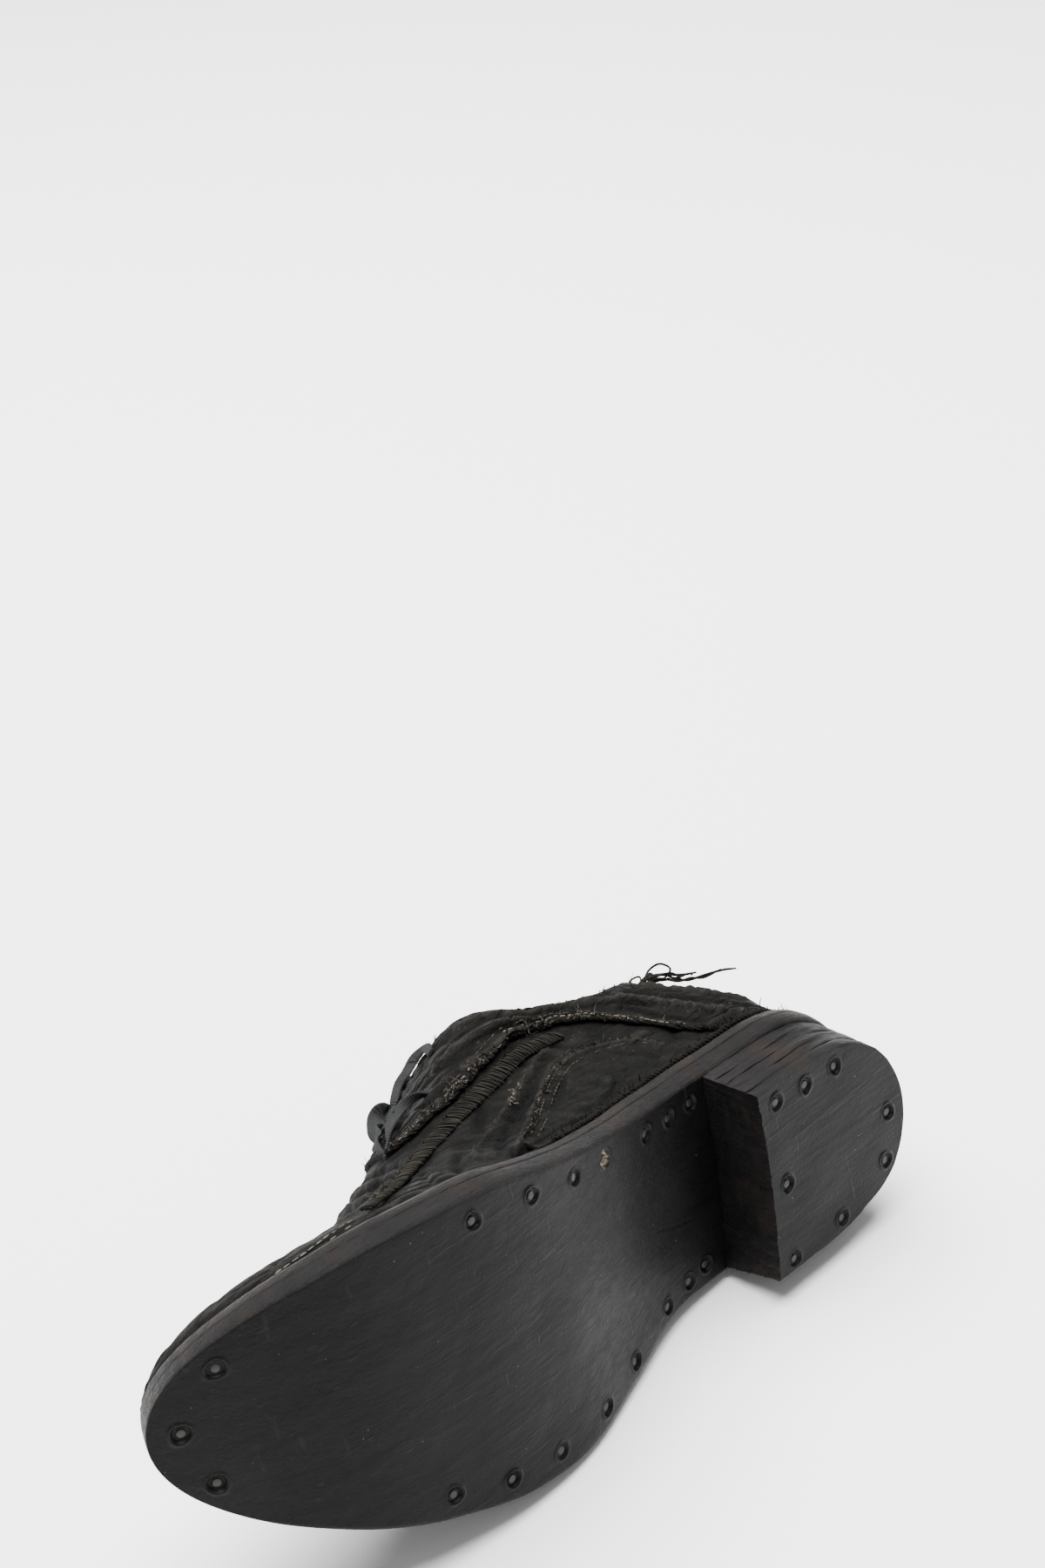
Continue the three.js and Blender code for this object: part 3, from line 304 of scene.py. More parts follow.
def form(u, v):
    """Points of the last: u from heel to toe, v from the medial feather line over to the lateral one."""
    u, v = np.broadcast_arrays(np.asarray(u, float), np.asarray(v, float))
    shape = u.shape
    u, v = u.ravel(), v.ravel()
    x = x_of_u(u)
    ends = round_end(x - FORM_HEEL_AT, HEEL_ROUND * SOLE_LENGTH, HEEL_POWER) * round_end(
        FORM_TOE - x, TOE_ROUND * SOLE_LENGTH * 0.96, TOE_POWER
    )
    centre = table(OUTLINE, "centre", x) * BALL_WIDTH
    foot = feather(x)
    fall = round_end(FORM_TOE - x, TOE_CREST_ROUND * SOLE_LENGTH, 2.3)
    rise = (table(FORM, "crest", x) * INSTEP_HEIGHT - foot) * (0.12 + 0.88 * fall)
    ridge = centre + (table(FORM, "ridge", x) * BALL_WIDTH - centre) * ends

    def wide(key):
        return table(FORM, key, x) * BALL_WIDTH * ends

    y_rows = np.stack(
        [centre + wide("m_foot"), centre + wide("m_full"), centre + wide("m_high"), ridge,
         centre - wide("l_high"), centre - wide("l_full"), centre - wide("l_foot")], axis=1)
    shares = np.array([0, FULL_SHARE, SHOULDER_SHARE, 1, SHOULDER_SHARE, FULL_SHARE, 0])
    z = curve(SECTION_AT, foot[:, None] + rise[:, None] * shares, v)
    heel_share = np.maximum(1 - (x - FORM_HEEL_AT) / (0.3 * SOLE_LENGTH), 0)
    lean = HEEL_BACK_LEAN * heel_share * np.maximum((z - feather(0.0)) / 70, 0) ** 2
    belly = -2.5 * heel_share * np.sin(np.clip((z - foot) / 50, 0, 1) * math.pi)
    above = np.clip((z - 60) / 32, 0, 1)
    slack = COLLAR_SLACK * np.exp(-(((x - 80) / 32) ** 2)) * above**2 * (3 - 2 * above) * (v < 0.5)
    return np.stack([x + lean + belly, curve(SECTION_AT, y_rows, v) + slack, z], axis=1).reshape(shape + (3,))


def unit(vectors):
    return vectors / np.maximum(np.linalg.norm(vectors, axis=-1, keepdims=True), 1e-9)


def form_normal(u, v):
    """Outward normals of the last, turned to face backward and forward at its two ends."""
    u, v = np.broadcast_arrays(np.asarray(u, float), np.asarray(v, float))
    d = 0.004
    near = np.clip(u, 0.012, 0.988)
    along = form(near + d, v) - form(near - d, v)
    over = form(near, np.minimum(v + d, 1)) - form(near, np.maximum(v - d, 0))
    normal = unit(np.cross(over, along))
    for end, facing in ((0.0, (-1, 0, 0.0)), (1.0, (0.97, 0, 0.25))):
        w = np.clip(1 - np.abs(u - end) / 0.035, 0, 1)[..., None] ** 2
        normal = unit(normal * (1 - w) + np.array(facing) * w)
    return normal


def v_of(side, w):
    """Section share at w on one side, from the feather line (0) up to the ridge (1)."""
    return 0.5 * w if side > 0 else 1 - 0.5 * w


def solve(side, u, falls_short):
    """Highest w on one side for which the test still says that the point falls short."""
    low, high = np.zeros(len(u)), np.ones(len(u))
    for _ in range(22):
        middle = (low + high) / 2
        short = falls_short(form(u, v_of(side, middle)))
        low = np.where(short, middle, low)
        high = np.where(short, high, middle)
    return (low + high) / 2


def w_at_height(side, u, z):
    return solve(side, u, lambda p: p[..., 2] < z)


def w_beside_ridge(side, u, half):
    ridge = form(u, np.full(len(u), 0.5))[..., 1]
    return solve(side, u, lambda p: np.abs(p[..., 1] - ridge) > half)


def w_top(side, u, slot_extra, slot_end):
    """Upper edge of the leather: the collar line, then the edge of the throat slot."""
    x = x_of_u(u)
    collar = np.where(x < 0.39 * SOLE_LENGTH, table(COLLAR, "rise", x) * INSTEP_HEIGHT, 1e3)
    start = THROAT_TOP_AT - 16
    share = np.minimum((x - start) / (THROAT_BASE_AT - start), 1)
    half = ((THROAT_WIDTH * (1 - 0.4 * share)) / 2 + slot_extra) * round_end(slot_end - x, 6, 2)
    top = w_at_height(side, u, collar)
    inside = (x > start) & (x < slot_end)
    return np.where(inside, np.minimum(top, w_beside_ridge(side, u, half)), top)


def spot(side, at, rise):
    """u and v of a place on a side, given as shares of the length and of the instep height."""
    u = u_of_x(np.atleast_1d(np.asarray(at, float)) * SOLE_LENGTH)
    return u, v_of(side, w_at_height(side, u, np.atleast_1d(np.asarray(rise, float)) * INSTEP_HEIGHT))


# ---------------------------------------------------------------- creases and surface noise
def along_path(points, count):
    """Evenly timed smooth points through a short list of points."""
    points = np.asarray(points, float)
    s = np.linspace(0, len(points) - 1, count)
    return np.stack([curve(np.arange(len(points)), points[:, k], s) for k in range(points.shape[1])], axis=1)


def crease_lines(side_creases, over_creases=()):
    """Creases as lines of points on the form, with depth and half width."""
    lines = []
    for side, path, depth, width in side_creases:
        p = along_path(path, 70)
        lines.append((form(*spot(side, p[:, 0], p[:, 1])), depth, width))
    for path, depth, width in over_creases:
        p = along_path(path, 70)
        lines.append((form(u_of_x(p[:, 0] * SOLE_LENGTH), p[:, 1]), depth, width))
    return lines


def creased(points, lines, strength):
    """Height of the creases at the points: each is a trough or ridge with soft shoulders."""
    flat = points.reshape(-1, 3)
    height = np.zeros(len(flat))
    for line, depth, width in lines:
        reach = width * 3.2
        near = np.all((flat > line.min(0) - reach) & (flat < line.max(0) + reach), axis=1)
        index = np.nonzero(near)[0]
        if len(index) == 0:
            continue
        gap = np.linalg.norm(flat[index, None, :] - line[None, :, :], axis=2)
        nearest = gap.argmin(axis=1)
        q = gap[np.arange(len(index)), nearest] / width
        fade = np.clip(np.minimum(nearest, len(line) - 1 - nearest) / 12, 0, 1) ** 0.7
        height[index] += depth * fade * (1 - 0.55 * q**2) * np.exp(-(q**2)) * strength
    return height.reshape(points.shape[:-1])


def ripple(points, size, seed, waves=10):
    """Soft noise between about -1 and 1 with bumps of the given size."""
    chance = np.random.default_rng(seed)
    total = np.zeros(points.shape[:-1])
    for _ in range(waves):
        way = unit(chance.normal(size=3)) * 2 * math.pi / (size * chance.uniform(0.7, 1.6))
        total += np.sin(points @ way + chance.uniform(0, 6.28))
    return total / math.sqrt(waves) / 1.4


def wrinkled(points, size, seed):
    """Fine wrinkles that run along the shoe, sharper in their troughs than on their backs."""
    stretched = points * [0.32, 0.7, 1] + 2.2 * np.stack([ripple(points, 20, seed + k) for k in range(3)], axis=-1)
    return 0.55 - 1.4 * np.exp(-((ripple(stretched, size, seed + 5) / 0.28) ** 2)) * (
        0.35 + 0.65 * np.clip(ripple(points, 28, seed + 6) + 0.4, 0, 1)
    )


# ---------------------------------------------------------------- from the standing shoe to the floor
def lay_down():
    """Turn and shift from the standing shoe to the frame, read from the heel mount."""
    mount = frame["record"]["mounts"][0]
    down = np.array(mount["axis"], float)
    down /= np.linalg.norm(down)
    z_axis = -down
    up_z = z_axis[2]
    up_y = up_z * z_axis[1] / math.sqrt(max(1 - z_axis[1] ** 2, 1e-12)) * -1
    up_y = abs(up_y) if up_z < 0 else up_y
    up_x = math.sqrt(max(1 - up_z**2 - up_y**2, 0))
    up = np.array([up_x, up_y, up_z])
    across = np.cross([1.0, 0, 0], up)
    across /= -np.linalg.norm(across)
    return np.stack([np.cross(across, up), across, up]), np.array(mount["pos_m"]) * 1000


TURN, HEEL_MOUNT = lay_down()
SHIFT = HEEL_MOUNT - TURN @ np.array([42.0, 0, 0])


def standing_to_floor(points):
    """Millimetres in the standing shoe's frame to metres in the frame."""
    return (np.asarray(points, float) @ TURN.T + SHIFT) / 1000


# ---------------------------------------------------------------- making pieces
def only(obj):
    bpy.ops.object.select_all(action="DESELECT")
    obj.select_set(True)
    bpy.context.view_layer.objects.active = obj


def sheet_piece(name, points, relief=None):
    """A grid primitive whose rows and columns are laid on the given points; relief tints its paint with painted shade
    and light, and with rubbed wear on the leather.
    """
    columns, rows = points.shape[:2]
    bpy.ops.object.select_all(action="DESELECT")
    bpy.ops.mesh.primitive_grid_add(x_subdivisions=columns - 1, y_subdivisions=rows - 1, size=1)
    obj = bpy.context.object
    obj.name = obj.data.name = name
    mesh = obj.data
    flat = np.empty(len(mesh.vertices) * 3)
    mesh.vertices.foreach_get("co", flat)
    flat = flat.reshape(-1, 3)
    i = np.rint((flat[:, 0] + 0.5) * (columns - 1)).astype(int)
    j = np.rint((flat[:, 1] + 0.5) * (rows - 1)).astype(int)
    mesh.vertices.foreach_set("co", standing_to_floor(points[i, j]).ravel())
    mesh.update()
    if relief is not None:
        layer_of_relief = mesh.attributes.new("relief_mm", "FLOAT", "POINT")
        layer_of_relief.data.foreach_set("value", relief[i, j].astype(np.float32))
    return obj


def joined(name, parts):
    bpy.ops.object.select_all(action="DESELECT")
    for part in parts:
        part.select_set(True)
    bpy.context.view_layer.objects.active = parts[0]
    if len(parts) > 1:
        bpy.ops.object.join()
    parts[0].name = parts[0].data.name = name
    return parts[0]


def edit(obj, *steps):
    """Runs edit-mode operators on the whole mesh."""
    only(obj)
    bpy.ops.object.mode_set(mode="EDIT")
    bpy.ops.mesh.select_all(action="SELECT")
    for step in steps:
        step()
    bpy.ops.object.mode_set(mode="OBJECT")


def weld(obj, distance=0.00003, outward=True):
    steps = [lambda: bpy.ops.mesh.remove_doubles(threshold=distance)]
    if outward:
        steps.append(lambda: bpy.ops.mesh.normals_make_consistent(inside=False))
    edit(obj, *steps)


def modify(obj, kind, **settings):
    only(obj)
    modifier = obj.modifiers.new(kind.title(), kind)
    for key, value in settings.items():
        setattr(modifier, key, value)
    bpy.ops.object.modifier_apply(modifier=modifier.name)


def rest_on_floor(obj):
    """Nothing reaches below the floor."""
    flat = np.empty(len(obj.data.vertices) * 3)
    obj.data.vertices.foreach_get("co", flat)
    flat[2::3] = np.maximum(flat[2::3], 0.00002)
    obj.data.vertices.foreach_set("co", flat)
    obj.data.update()


def finish_piece(obj, paints, nodes=(), angle=40):
    """Material, shading, the nodes that it replaces, and its ride."""
    obj.data.materials.clear()
    for paint in paints:
        obj.data.materials.append(paint)
    only(obj)
    bpy.ops.object.shade_smooth_by_angle(angle=math.radians(angle))
    rest_on_floor(obj)
    if nodes:
        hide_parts(*nodes)
    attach(obj, "root")
    return obj


def mesh_piece(name, vertices, faces):
    """One object from many small things, given as arrays in the standing shoe's millimetres."""
    mesh = bpy.data.meshes.new(name)
    mesh.from_pydata(standing_to_floor(vertices).tolist(), [], faces)
    mesh.update()
    obj = bpy.data.objects.new(name, mesh)
    bpy.context.scene.collection.objects.link(obj)
    return obj


def bands(name, runs):
    """Tubes and ribbons in one mesh: each run holds rings of points along its path."""
    vertices, faces, shares = [], [], []
    start = 0
    for rings in runs:
        count, around = rings.shape[:2]
        vertices.append(rings.reshape(-1, 3))
        for i in range(count - 1):
            for j in range(around):
                k = (j + 1) % around
                a = start + i * around
                faces.append((a + j, a + k, a + around + k, a + around + j))
        faces.append(tuple(start + j for j in reversed(range(around))))
        faces.append(tuple(start + (count - 1) * around + j for j in range(around)))
        walked = np.concatenate([[0], np.cumsum(np.linalg.norm(np.diff(rings.mean(1), axis=0), axis=1))])
        shares.append(np.repeat(walked, around))
        start += count * around
    obj = mesh_piece(name, np.concatenate(vertices), faces)
    run = obj.data.attributes.new("run_mm", "FLOAT", "POINT")
    run.data.foreach_set("value", np.concatenate(shares).astype(np.float32))
    weld(obj, 0.000001)
    return obj


def tube(path, radius, sides=6, taper=0.0):
    """Rings of a round tube along a path."""
    path = np.asarray(path, float)
    tangent = unit(np.gradient(path, axis=0))
    helper = np.eye(3)[np.abs(tangent).mean(0).argmin()]
    first = unit(np.cross(tangent, helper))
    second = np.cross(tangent, first)
    turn = np.linspace(0, 2 * math.pi, sides, endpoint=False)
    share = np.linspace(0, 1, len(path))
    size = radius * (1 - taper * np.abs(2 * share - 1) ** 6)
    ring = np.cos(turn)[None, :, None] * first[:, None, :] + np.sin(turn)[None, :, None] * second[:, None, :]
    return path[:, None, :] + ring * size[:, None, None]


def ribbon(path, normal, width, thickness):
    """Rings of a flat woven strip along a path: lens-shaped with soft edges."""
    path = np.asarray(path, float)
    tangent = unit(np.gradient(path, axis=0))
    side = unit(np.cross(tangent, normal))
    up = unit(np.cross(side, tangent))
    turn = np.linspace(0, 2 * math.pi, 12, endpoint=False)
    wide = np.sign(np.cos(turn)) * np.abs(np.cos(turn)) ** 0.7
    high = np.sign(np.sin(turn)) * np.abs(np.sin(turn)) ** 0.5
    return (
        path[:, None, :]
        + side[:, None, :] * (wide[None, :] * np.atleast_1d(width)[:, None] / 2)[..., None]
        + up[:, None, :] * (high * thickness / 2)[None, :, None]
    )


# ---------------------------------------------------------------- materials
class Paint:
    """Short names for the shader nodes of one material."""

    def __init__(self, name, roughness=0.6):
        self.material = bpy.data.materials.new(name)
        self.material.use_nodes = True
        self.tree = self.material.node_tree
        self.shader = self.tree.nodes["Principled BSDF"]
        self.shader.inputs["Roughness"].default_value = roughness
        self.place = self.tree.nodes.new("ShaderNodeTexCoord").outputs["Object"]

    def put(self, target, value):
        if isinstance(value, bpy.types.NodeSocket):
            self.tree.links.new(value, target)
        else:
            target.default_value = value

    def stretched(self, scale, turn=(0, 0, 0)):
        node = self.tree.nodes.new("ShaderNodeMapping")
        node.inputs["Scale"].default_value = scale
        node.inputs["Rotation"].default_value = turn
        self.put(node.inputs["Vector"], self.place)
        return node.outputs["Vector"]

    def noise(self, scale, detail=4, rough=0.55, place=None, twist=0.0):
        node = self.tree.nodes.new("ShaderNodeTexNoise")
        self.put(node.inputs["Vector"], place or self.place)
        node.inputs["Scale"].default_value = scale
        node.inputs["Detail"].default_value = detail
        node.inputs["Roughness"].default_value = rough
        node.inputs["Distortion"].default_value = twist
        return node.outputs["Fac"]

    def stored(self, name):
        node = self.tree.nodes.new("ShaderNodeAttribute")
        node.attribute_name = name
        return node.outputs["Fac"]

    def cells(self, scale, feature="F1", place=None):
        node = self.tree.nodes.new("ShaderNodeTexVoronoi")
        node.feature = feature
        self.put(node.inputs["Vector"], place or self.place)
        node.inputs["Scale"].default_value = scale
        return node.outputs["Distance"]

    def ramp(self, source, *stops):
        node = self.tree.nodes.new("ShaderNodeValToRGB")
        self.put(node.inputs["Fac"], source)
        while len(node.color_ramp.elements) < len(stops):
            node.color_ramp.elements.new(0.5)
        for element, (at, value) in zip(node.color_ramp.elements, stops):
            element.position = at
            element.color = (value, value, value, 1) if isinstance(value, (int, float)) else (*value[:3], 1)
        return node.outputs["Color"]

    def mix(self, share, a, b, blend="MIX"):
        node = self.tree.nodes.new("ShaderNodeMix")
        node.data_type = "RGBA"
        node.blend_type = blend
        self.put(node.inputs[0], share)
        self.put(node.inputs[6], a)
        self.put(node.inputs[7], b)
        return node.outputs[2]

    def math(self, operation, a, b=0.0):
        node = self.tree.nodes.new("ShaderNodeMath")
        node.operation = operation
        self.put(node.inputs[0], a)
        self.put(node.inputs[1], b)
        return node.outputs[0]

    def bump(self, height, strength, distance, below=None):
        node = self.tree.nodes.new("ShaderNodeBump")
        node.inputs["Strength"].default_value = strength
        node.inputs["Distance"].default_value = distance
        self.put(node.inputs["Height"], height)
        if below is not None:
            self.put(node.inputs["Normal"], below)
        return node.outputs["Normal"]

    def done(self, colour, roughness=None, normal=None, **constants):
        self.put(self.shader.inputs["Base Color"], colour)
        if roughness is not None:
            self.put(self.shader.inputs["Roughness"], roughness)
        if normal is not None:
            self.put(self.shader.inputs["Normal"], normal)
        for key, value in constants.items():
            self.shader.inputs[key.replace("_", " ")].default_value = value
        return self.material


def tone(colour, share):
    return tuple(channel * share for channel in colour[:3])


def dry_leather(name, colour, dust):
    """Dry, cracked leather with a fine grain: painted shade in its folds, painted light and a dusty rub on its ridges.
    """
    p = Paint(name)
    relief = p.math("MULTIPLY_ADD", p.stored("relief_mm"), 0.22)
    relief.node.inputs[2].default_value = 0.5
    broad = p.noise(34, 6, 0.62, twist=0.4)
    fibre = p.noise(1, 7, 0.72, place=p.stretched((110, 480, 480), (0, -0.2, 0)))
    fold = p.noise(1, 5, 0.6, place=p.stretched((45, 170, 170), (0, -0.25, 0)), twist=0.8)
    grain = p.cells(1100)
    cracks = p.cells(330, "DISTANCE_TO_EDGE", place=p.stretched((0.6, 1, 1)))
    base = p.ramp(p.mix(0.45, broad, fibre), (0.36, tone(colour, 0.3)), (0.54, colour), (0.68, tone(colour, 2.6)))
    # Painted shade in the crease troughs and painted light on the ridges, from the relief height
    base = p.mix(1.0, base, p.ramp(relief, (0.25, 0.2), (0.5, 0.8), (0.8, 2.4)), "MULTIPLY")
    rubbed = p.math("MULTIPLY", p.ramp(relief, (0.56, 0.0), (0.9, 0.55)), p.ramp(fibre, (0.45, 0.2), (0.62, 1.0)))
    base = p.mix(rubbed, base, (0.032, 0.0295, 0.0245, 1))
    powder = p.math("MULTIPLY", p.ramp(p.noise(260, 9, 0.8), (0.58, 0.0), (0.7, 1.0)), p.ramp(broad, (0.45, 0.1), (0.65, dust)))
    base = p.mix(powder, base, (0.075, 0.069, 0.057, 1))
    normal = p.bump(fold, 0.8, 0.0022)
    normal = p.bump(fibre, 0.9, 0.0011, normal)
    normal = p.bump(grain, 0.4, 0.0003, normal)
    normal = p.bump(p.ramp(cracks, (0.0, 0.0), (0.08, 1.0)), 0.35, 0.0003, normal)
    rough = p.ramp(p.mix(0.5, broad, fibre), (0.35, 0.5), (0.65, 0.85))
    return p.done(base, rough, normal, Specular_IOR_Level=0.08)


def sole_face(name, colour):
    """Tarred, worn tread leather: broad dull sheen, fine scratches and pale specks, with a painted highlight on raised
    lips and painted shade in the nail dimples.
    """
    p = Paint(name)
    relief = p.math("MULTIPLY_ADD", p.stored("relief_mm"), 0.5)
    relief.node.inputs[2].default_value = 0.5
    broad = p.noise(13, 5, 0.6, twist=0.3)
    smear = p.noise(1, 6, 0.62, place=p.stretched((26, 60, 90), (0, 0.5, 0)))
    brushed = p.noise(1, 5, 0.6, place=p.stretched((40, 900, 900), (0, 0.35, 0)))
    fine = p.noise(950, 3, 0.6)
    lines = p.ramp(p.noise(1, 3, 0.5, place=p.stretched((16, 380, 380), (0, -0.55, 0))), (0.66, 0.0), (0.71, 1.0))
    crossing = p.ramp(p.noise(1, 2, 0.5, place=p.stretched((420, 300, 18), (0, 0.3, 0.4))), (0.69, 0.0), (0.74, 1.0))
    specks = p.ramp(p.cells(260), (0.0, 1.0), (0.035, 1.0), (0.06, 0.0))
    sparse = p.math("MULTIPLY", specks, p.ramp(p.noise(80, 2), (0.5, 0.0), (0.66, 0.6)))
    base = p.ramp(p.mix(0.4, broad, smear), (0.36, tone(colour, 0.5)), (0.54, colour), (0.7, tone(colour, 1.8)))
    # Painted highlight on the raised lips round the nails and beside the scratch, from the relief
    base = p.mix(p.ramp(relief, (0.6, 0.0), (0.75, 0.35)), base, tone(colour, 3.2) + (1,))
    # Painted shade in the nail dimples, from the relief
    base = p.mix(p.ramp(relief, (0.2, 0.85), (0.42, 0.0)), base, tone(colour, 0.3) + (1,))
    base = p.mix(p.math("MULTIPLY", p.math("MAXIMUM", lines, crossing), 0.4), base, tone(colour, 3.4) + (1,))
    base = p.mix(sparse, base, (0.26, 0.25, 0.235, 1))
    torn = p.math("MULTIPLY", p.stored("raw_share"), p.ramp(p.noise(700, 3), (0.36, 0.1), (0.52, 0.9)))
    base = p.mix(torn, base, (0.42, 0.33, 0.22, 1))
    normal = p.bump(brushed, 0.25, 0.0003)
    normal = p.bump(fine, 0.4, 0.0003, normal)
    normal = p.bump(smear, 0.35, 0.0016, normal)
    normal = p.bump(p.math("MAXIMUM", lines, crossing), 0.4, 0.0002, normal)
    rough = p.ramp(p.mix(0.5, smear, brushed), (0.35, 0.36), (0.68, 0.58))
    return p.done(base, rough, normal, Specular_IOR_Level=0.09)


def sole_edge(name, colour, streak=(30, 700, 700)):
    """Waxed edge leather: grey over brown, with streaks along the edge."""
    p = Paint(name)
    streaks = p.noise(1, 7, 0.68, place=p.stretched(streak, (0, -0.08, 0)))
    broad = p.noise(40, 5, 0.6)
    base = p.ramp(p.mix(0.5, streaks, broad), (0.34, tone(colour, 0.35)), (0.52, colour), (0.7, tone(colour, 2.3)))
    brown = p.ramp(p.noise(55, 4, 0.6), (0.5, 0.0), (0.68, 0.6))
    base = p.mix(brown, base, (0.012, 0.0073, 0.0056, 1))
    pits = p.ramp(p.noise(1, 4, 0.6, place=p.stretched((300, 900, 900))), (0.3, 0.8), (0.38, 0.0))
    base = p.mix(pits, base, tone(colour, 0.15) + (1,))
    normal = p.bump(streaks, 0.8, 0.0011)
    normal = p.bump(p.noise(700, 4, 0.6), 0.4, 0.0003, normal)
    rough = p.ramp(streaks, (0.35, 0.42), (0.7, 0.7))
    return p.done(base, rough, normal, Specular_IOR_Level=0.11)


def thread(name, colour):
    p = Paint(name, 0.85)
    fibre = p.noise(1600, 4, 0.7)
    base = p.ramp(p.noise(180, 4, 0.6), (0.35, tone(colour, 0.5)), (0.62, colour), (0.8, tone(colour, 1.5)))
    return p.done(base, 0.85, p.bump(fibre, 0.5, 0.0003), Specular_IOR_Level=0.1)


def woven(name, colour, rib_mm):
    """Flat woven lace: fine slanting ribs that follow its run, with painted shade in the grooves between them."""
    p = Paint(name, 0.9)
    turns = p.math("MULTIPLY", p.stored("run_mm"), 2 * math.pi / rib_mm)
    ribs = p.math("SINE", p.math("ADD", turns, p.math("MULTIPLY", p.noise(260, 3), 3.0)))
    fuzz = p.noise(1300, 5, 0.7)
    base = p.ramp(p.mix(0.5, p.noise(120, 5, 0.6), fuzz), (0.3, tone(colour, 0.5)), (0.55, colour), (0.8, tone(colour, 1.6)))
    # Painted shade in the grooves between the ribs
    base = p.mix(p.math("MULTIPLY", p.math("MAXIMUM", p.math("MULTIPLY", ribs, -1.0), 0.0), 0.5), base, tone(colour, 0.3) + (1,))
    normal = p.bump(ribs, 0.5, 0.0003)
    normal = p.bump(fuzz, 0.5, 0.0003, normal)
    return p.done(base, 0.95, normal, Specular_IOR_Level=0.1)


def dark_iron(name, colour):
    p = Paint(name, 0.5)
    wear = p.noise(420, 5, 0.65)
    base = p.ramp(wear, (0.35, tone(colour, 0.5)), (0.6, colour), (0.78, tone(colour, 2.4)))
    return p.done(base, p.ramp(wear, (0.3, 0.35), (0.7, 0.65)), p.bump(wear, 0.4, 0.0003), Metallic=0.55)


# ---------------------------------------------------------------- sizes and colours that a user changes
def colour_prop(name, description, default):
    return bpy.props.FloatVectorProperty(
        name=name, description=description, subtype="COLOR", size=3, min=0, max=1, default=default
    )


class ShoeSizes(bpy.types.PropertyGroup):
    """Sizes of the dressed shoe."""

    crease: bpy.props.FloatProperty(
        name="Crease depth", description="Share of the hand-placed crease depths", default=1.0, min=0, max=2, subtype="FACTOR"
    )
    lumps: bpy.props.FloatProperty(
        name="Leather lumps", description="Height of the soft unevenness of the leather, in millimetres", default=0.35, min=0, max=1.5
    )
    dimple: bpy.props.FloatProperty(
        name="Nail dimple", description="Depth of the dimple around each nail, in millimetres", default=0.8, min=0, max=1.5
    )
    lace_width: bpy.props.FloatProperty(
        name="Lace width", description="Width of the flat lace, in millimetres", default=5.2, min=2, max=9
    )
    lace_thickness: bpy.props.FloatProperty(
        name="Lace thickness", description="Thickness of the flat lace, in millimetres", default=1.1, min=0.5, max=2
    )
    stitch: bpy.props.FloatProperty(
        name="Stitch length", description="Length of one seam stitch, in millimetres", default=2.1, min=1, max=5
    )
    fray: bpy.props.FloatProperty(
        name="Fray length", description="Length of the longest frayed fibres, in millimetres", default=5.0, min=0.5, max=8
    )


class ShoeColours(bpy.types.PropertyGroup):
    """Colours of the dressed shoe."""

    upper: colour_prop("Upper leather", "Dry black-brown leather of the upper", (0.0024, 0.0022, 0.0019))
    lining: colour_prop("Lining", "Inside of the upper", (0.03, 0.025, 0.02))
    sole: colour_prop("Sole leather", "Tarred leather of the tread", (0.0025, 0.0025, 0.0027))
    edge: colour_prop("Sole edge", "Waxed edge of the outsole and the heel", (0.0055, 0.005, 0.0049))
    welt: colour_prop("Midsole edge", "Darker layer under the upper", (0.0062, 0.0053, 0.0049))
    lace: colour_prop("Lace", "Dusty grey woven lace", (0.021, 0.0213, 0.022))
    pale_thread: colour_prop("Pale thread", "Seam stitches", (0.17, 0.15, 0.118))
    dark_thread: colour_prop("Dark thread", "Frayed edges", (0.009, 0.0078, 0.006))
    nail: colour_prop("Nail", "Rubbed iron of the nail heads", (0.026, 0.0225, 0.0195))
    floor: colour_prop("Floor", "Pale studio floor", (0.93, 0.93, 0.93))


# ---------------------------------------------------------------- sole
def sole_loop(count):
    """Places around the outline: x, side (plus medial), and the outward direction in plan."""
    share = 0.5 - 0.5 * np.cos(math.pi * np.arange(count + 1) / count)
    x = SOLE_LENGTH * np.concatenate([share, share[-2:0:-1]])
    side = np.concatenate([[0], np.ones(count - 1), [0], -np.ones(count - 1)])
    centre, half = outline(x)
    plan = np.stack([x, centre + side * half], axis=1)
    step = np.roll(plan, -1, axis=0) - np.roll(plan, 1, axis=0)
    out = unit(np.stack([-step[:, 1], step[:, 0]], axis=1))
    return plan, out


def sole_points(plan, out, height, offset):
    """Points at a height over the tread and an offset outward from the outline."""
    z, slope = tread(plan[:, 0])
    size = np.hypot(1, slope)
    toward = np.clip((plan[:, 0] / SOLE_LENGTH - TOE_TRIM_AT) / (1 - TOE_TRIM_AT), 0, 1)
    outward = offset * (1 - TOE_TRIM * toward**2 * (3 - 2 * toward))
    return np.stack(
        [
            plan[:, 0] - height * slope / size + outward * out[:, 0] / size,
            plan[:, 1] + outward * out[:, 1],
            z + height / size + outward * out[:, 0] * slope / size,
        ],
        axis=1,
    )


def across_loop(loop, rows):
    """Sheet between the two sides of a loop that starts at the heel."""
    half = len(loop) // 2
    medial = loop[: half + 1]
    lateral = np.concatenate([loop[:1], loop[: half - 1 : -1]])
    share = np.linspace(0, 1, rows)[None, :, None]
    return medial[:, None, :] * (1 - share) + lateral[:, None, :] * share


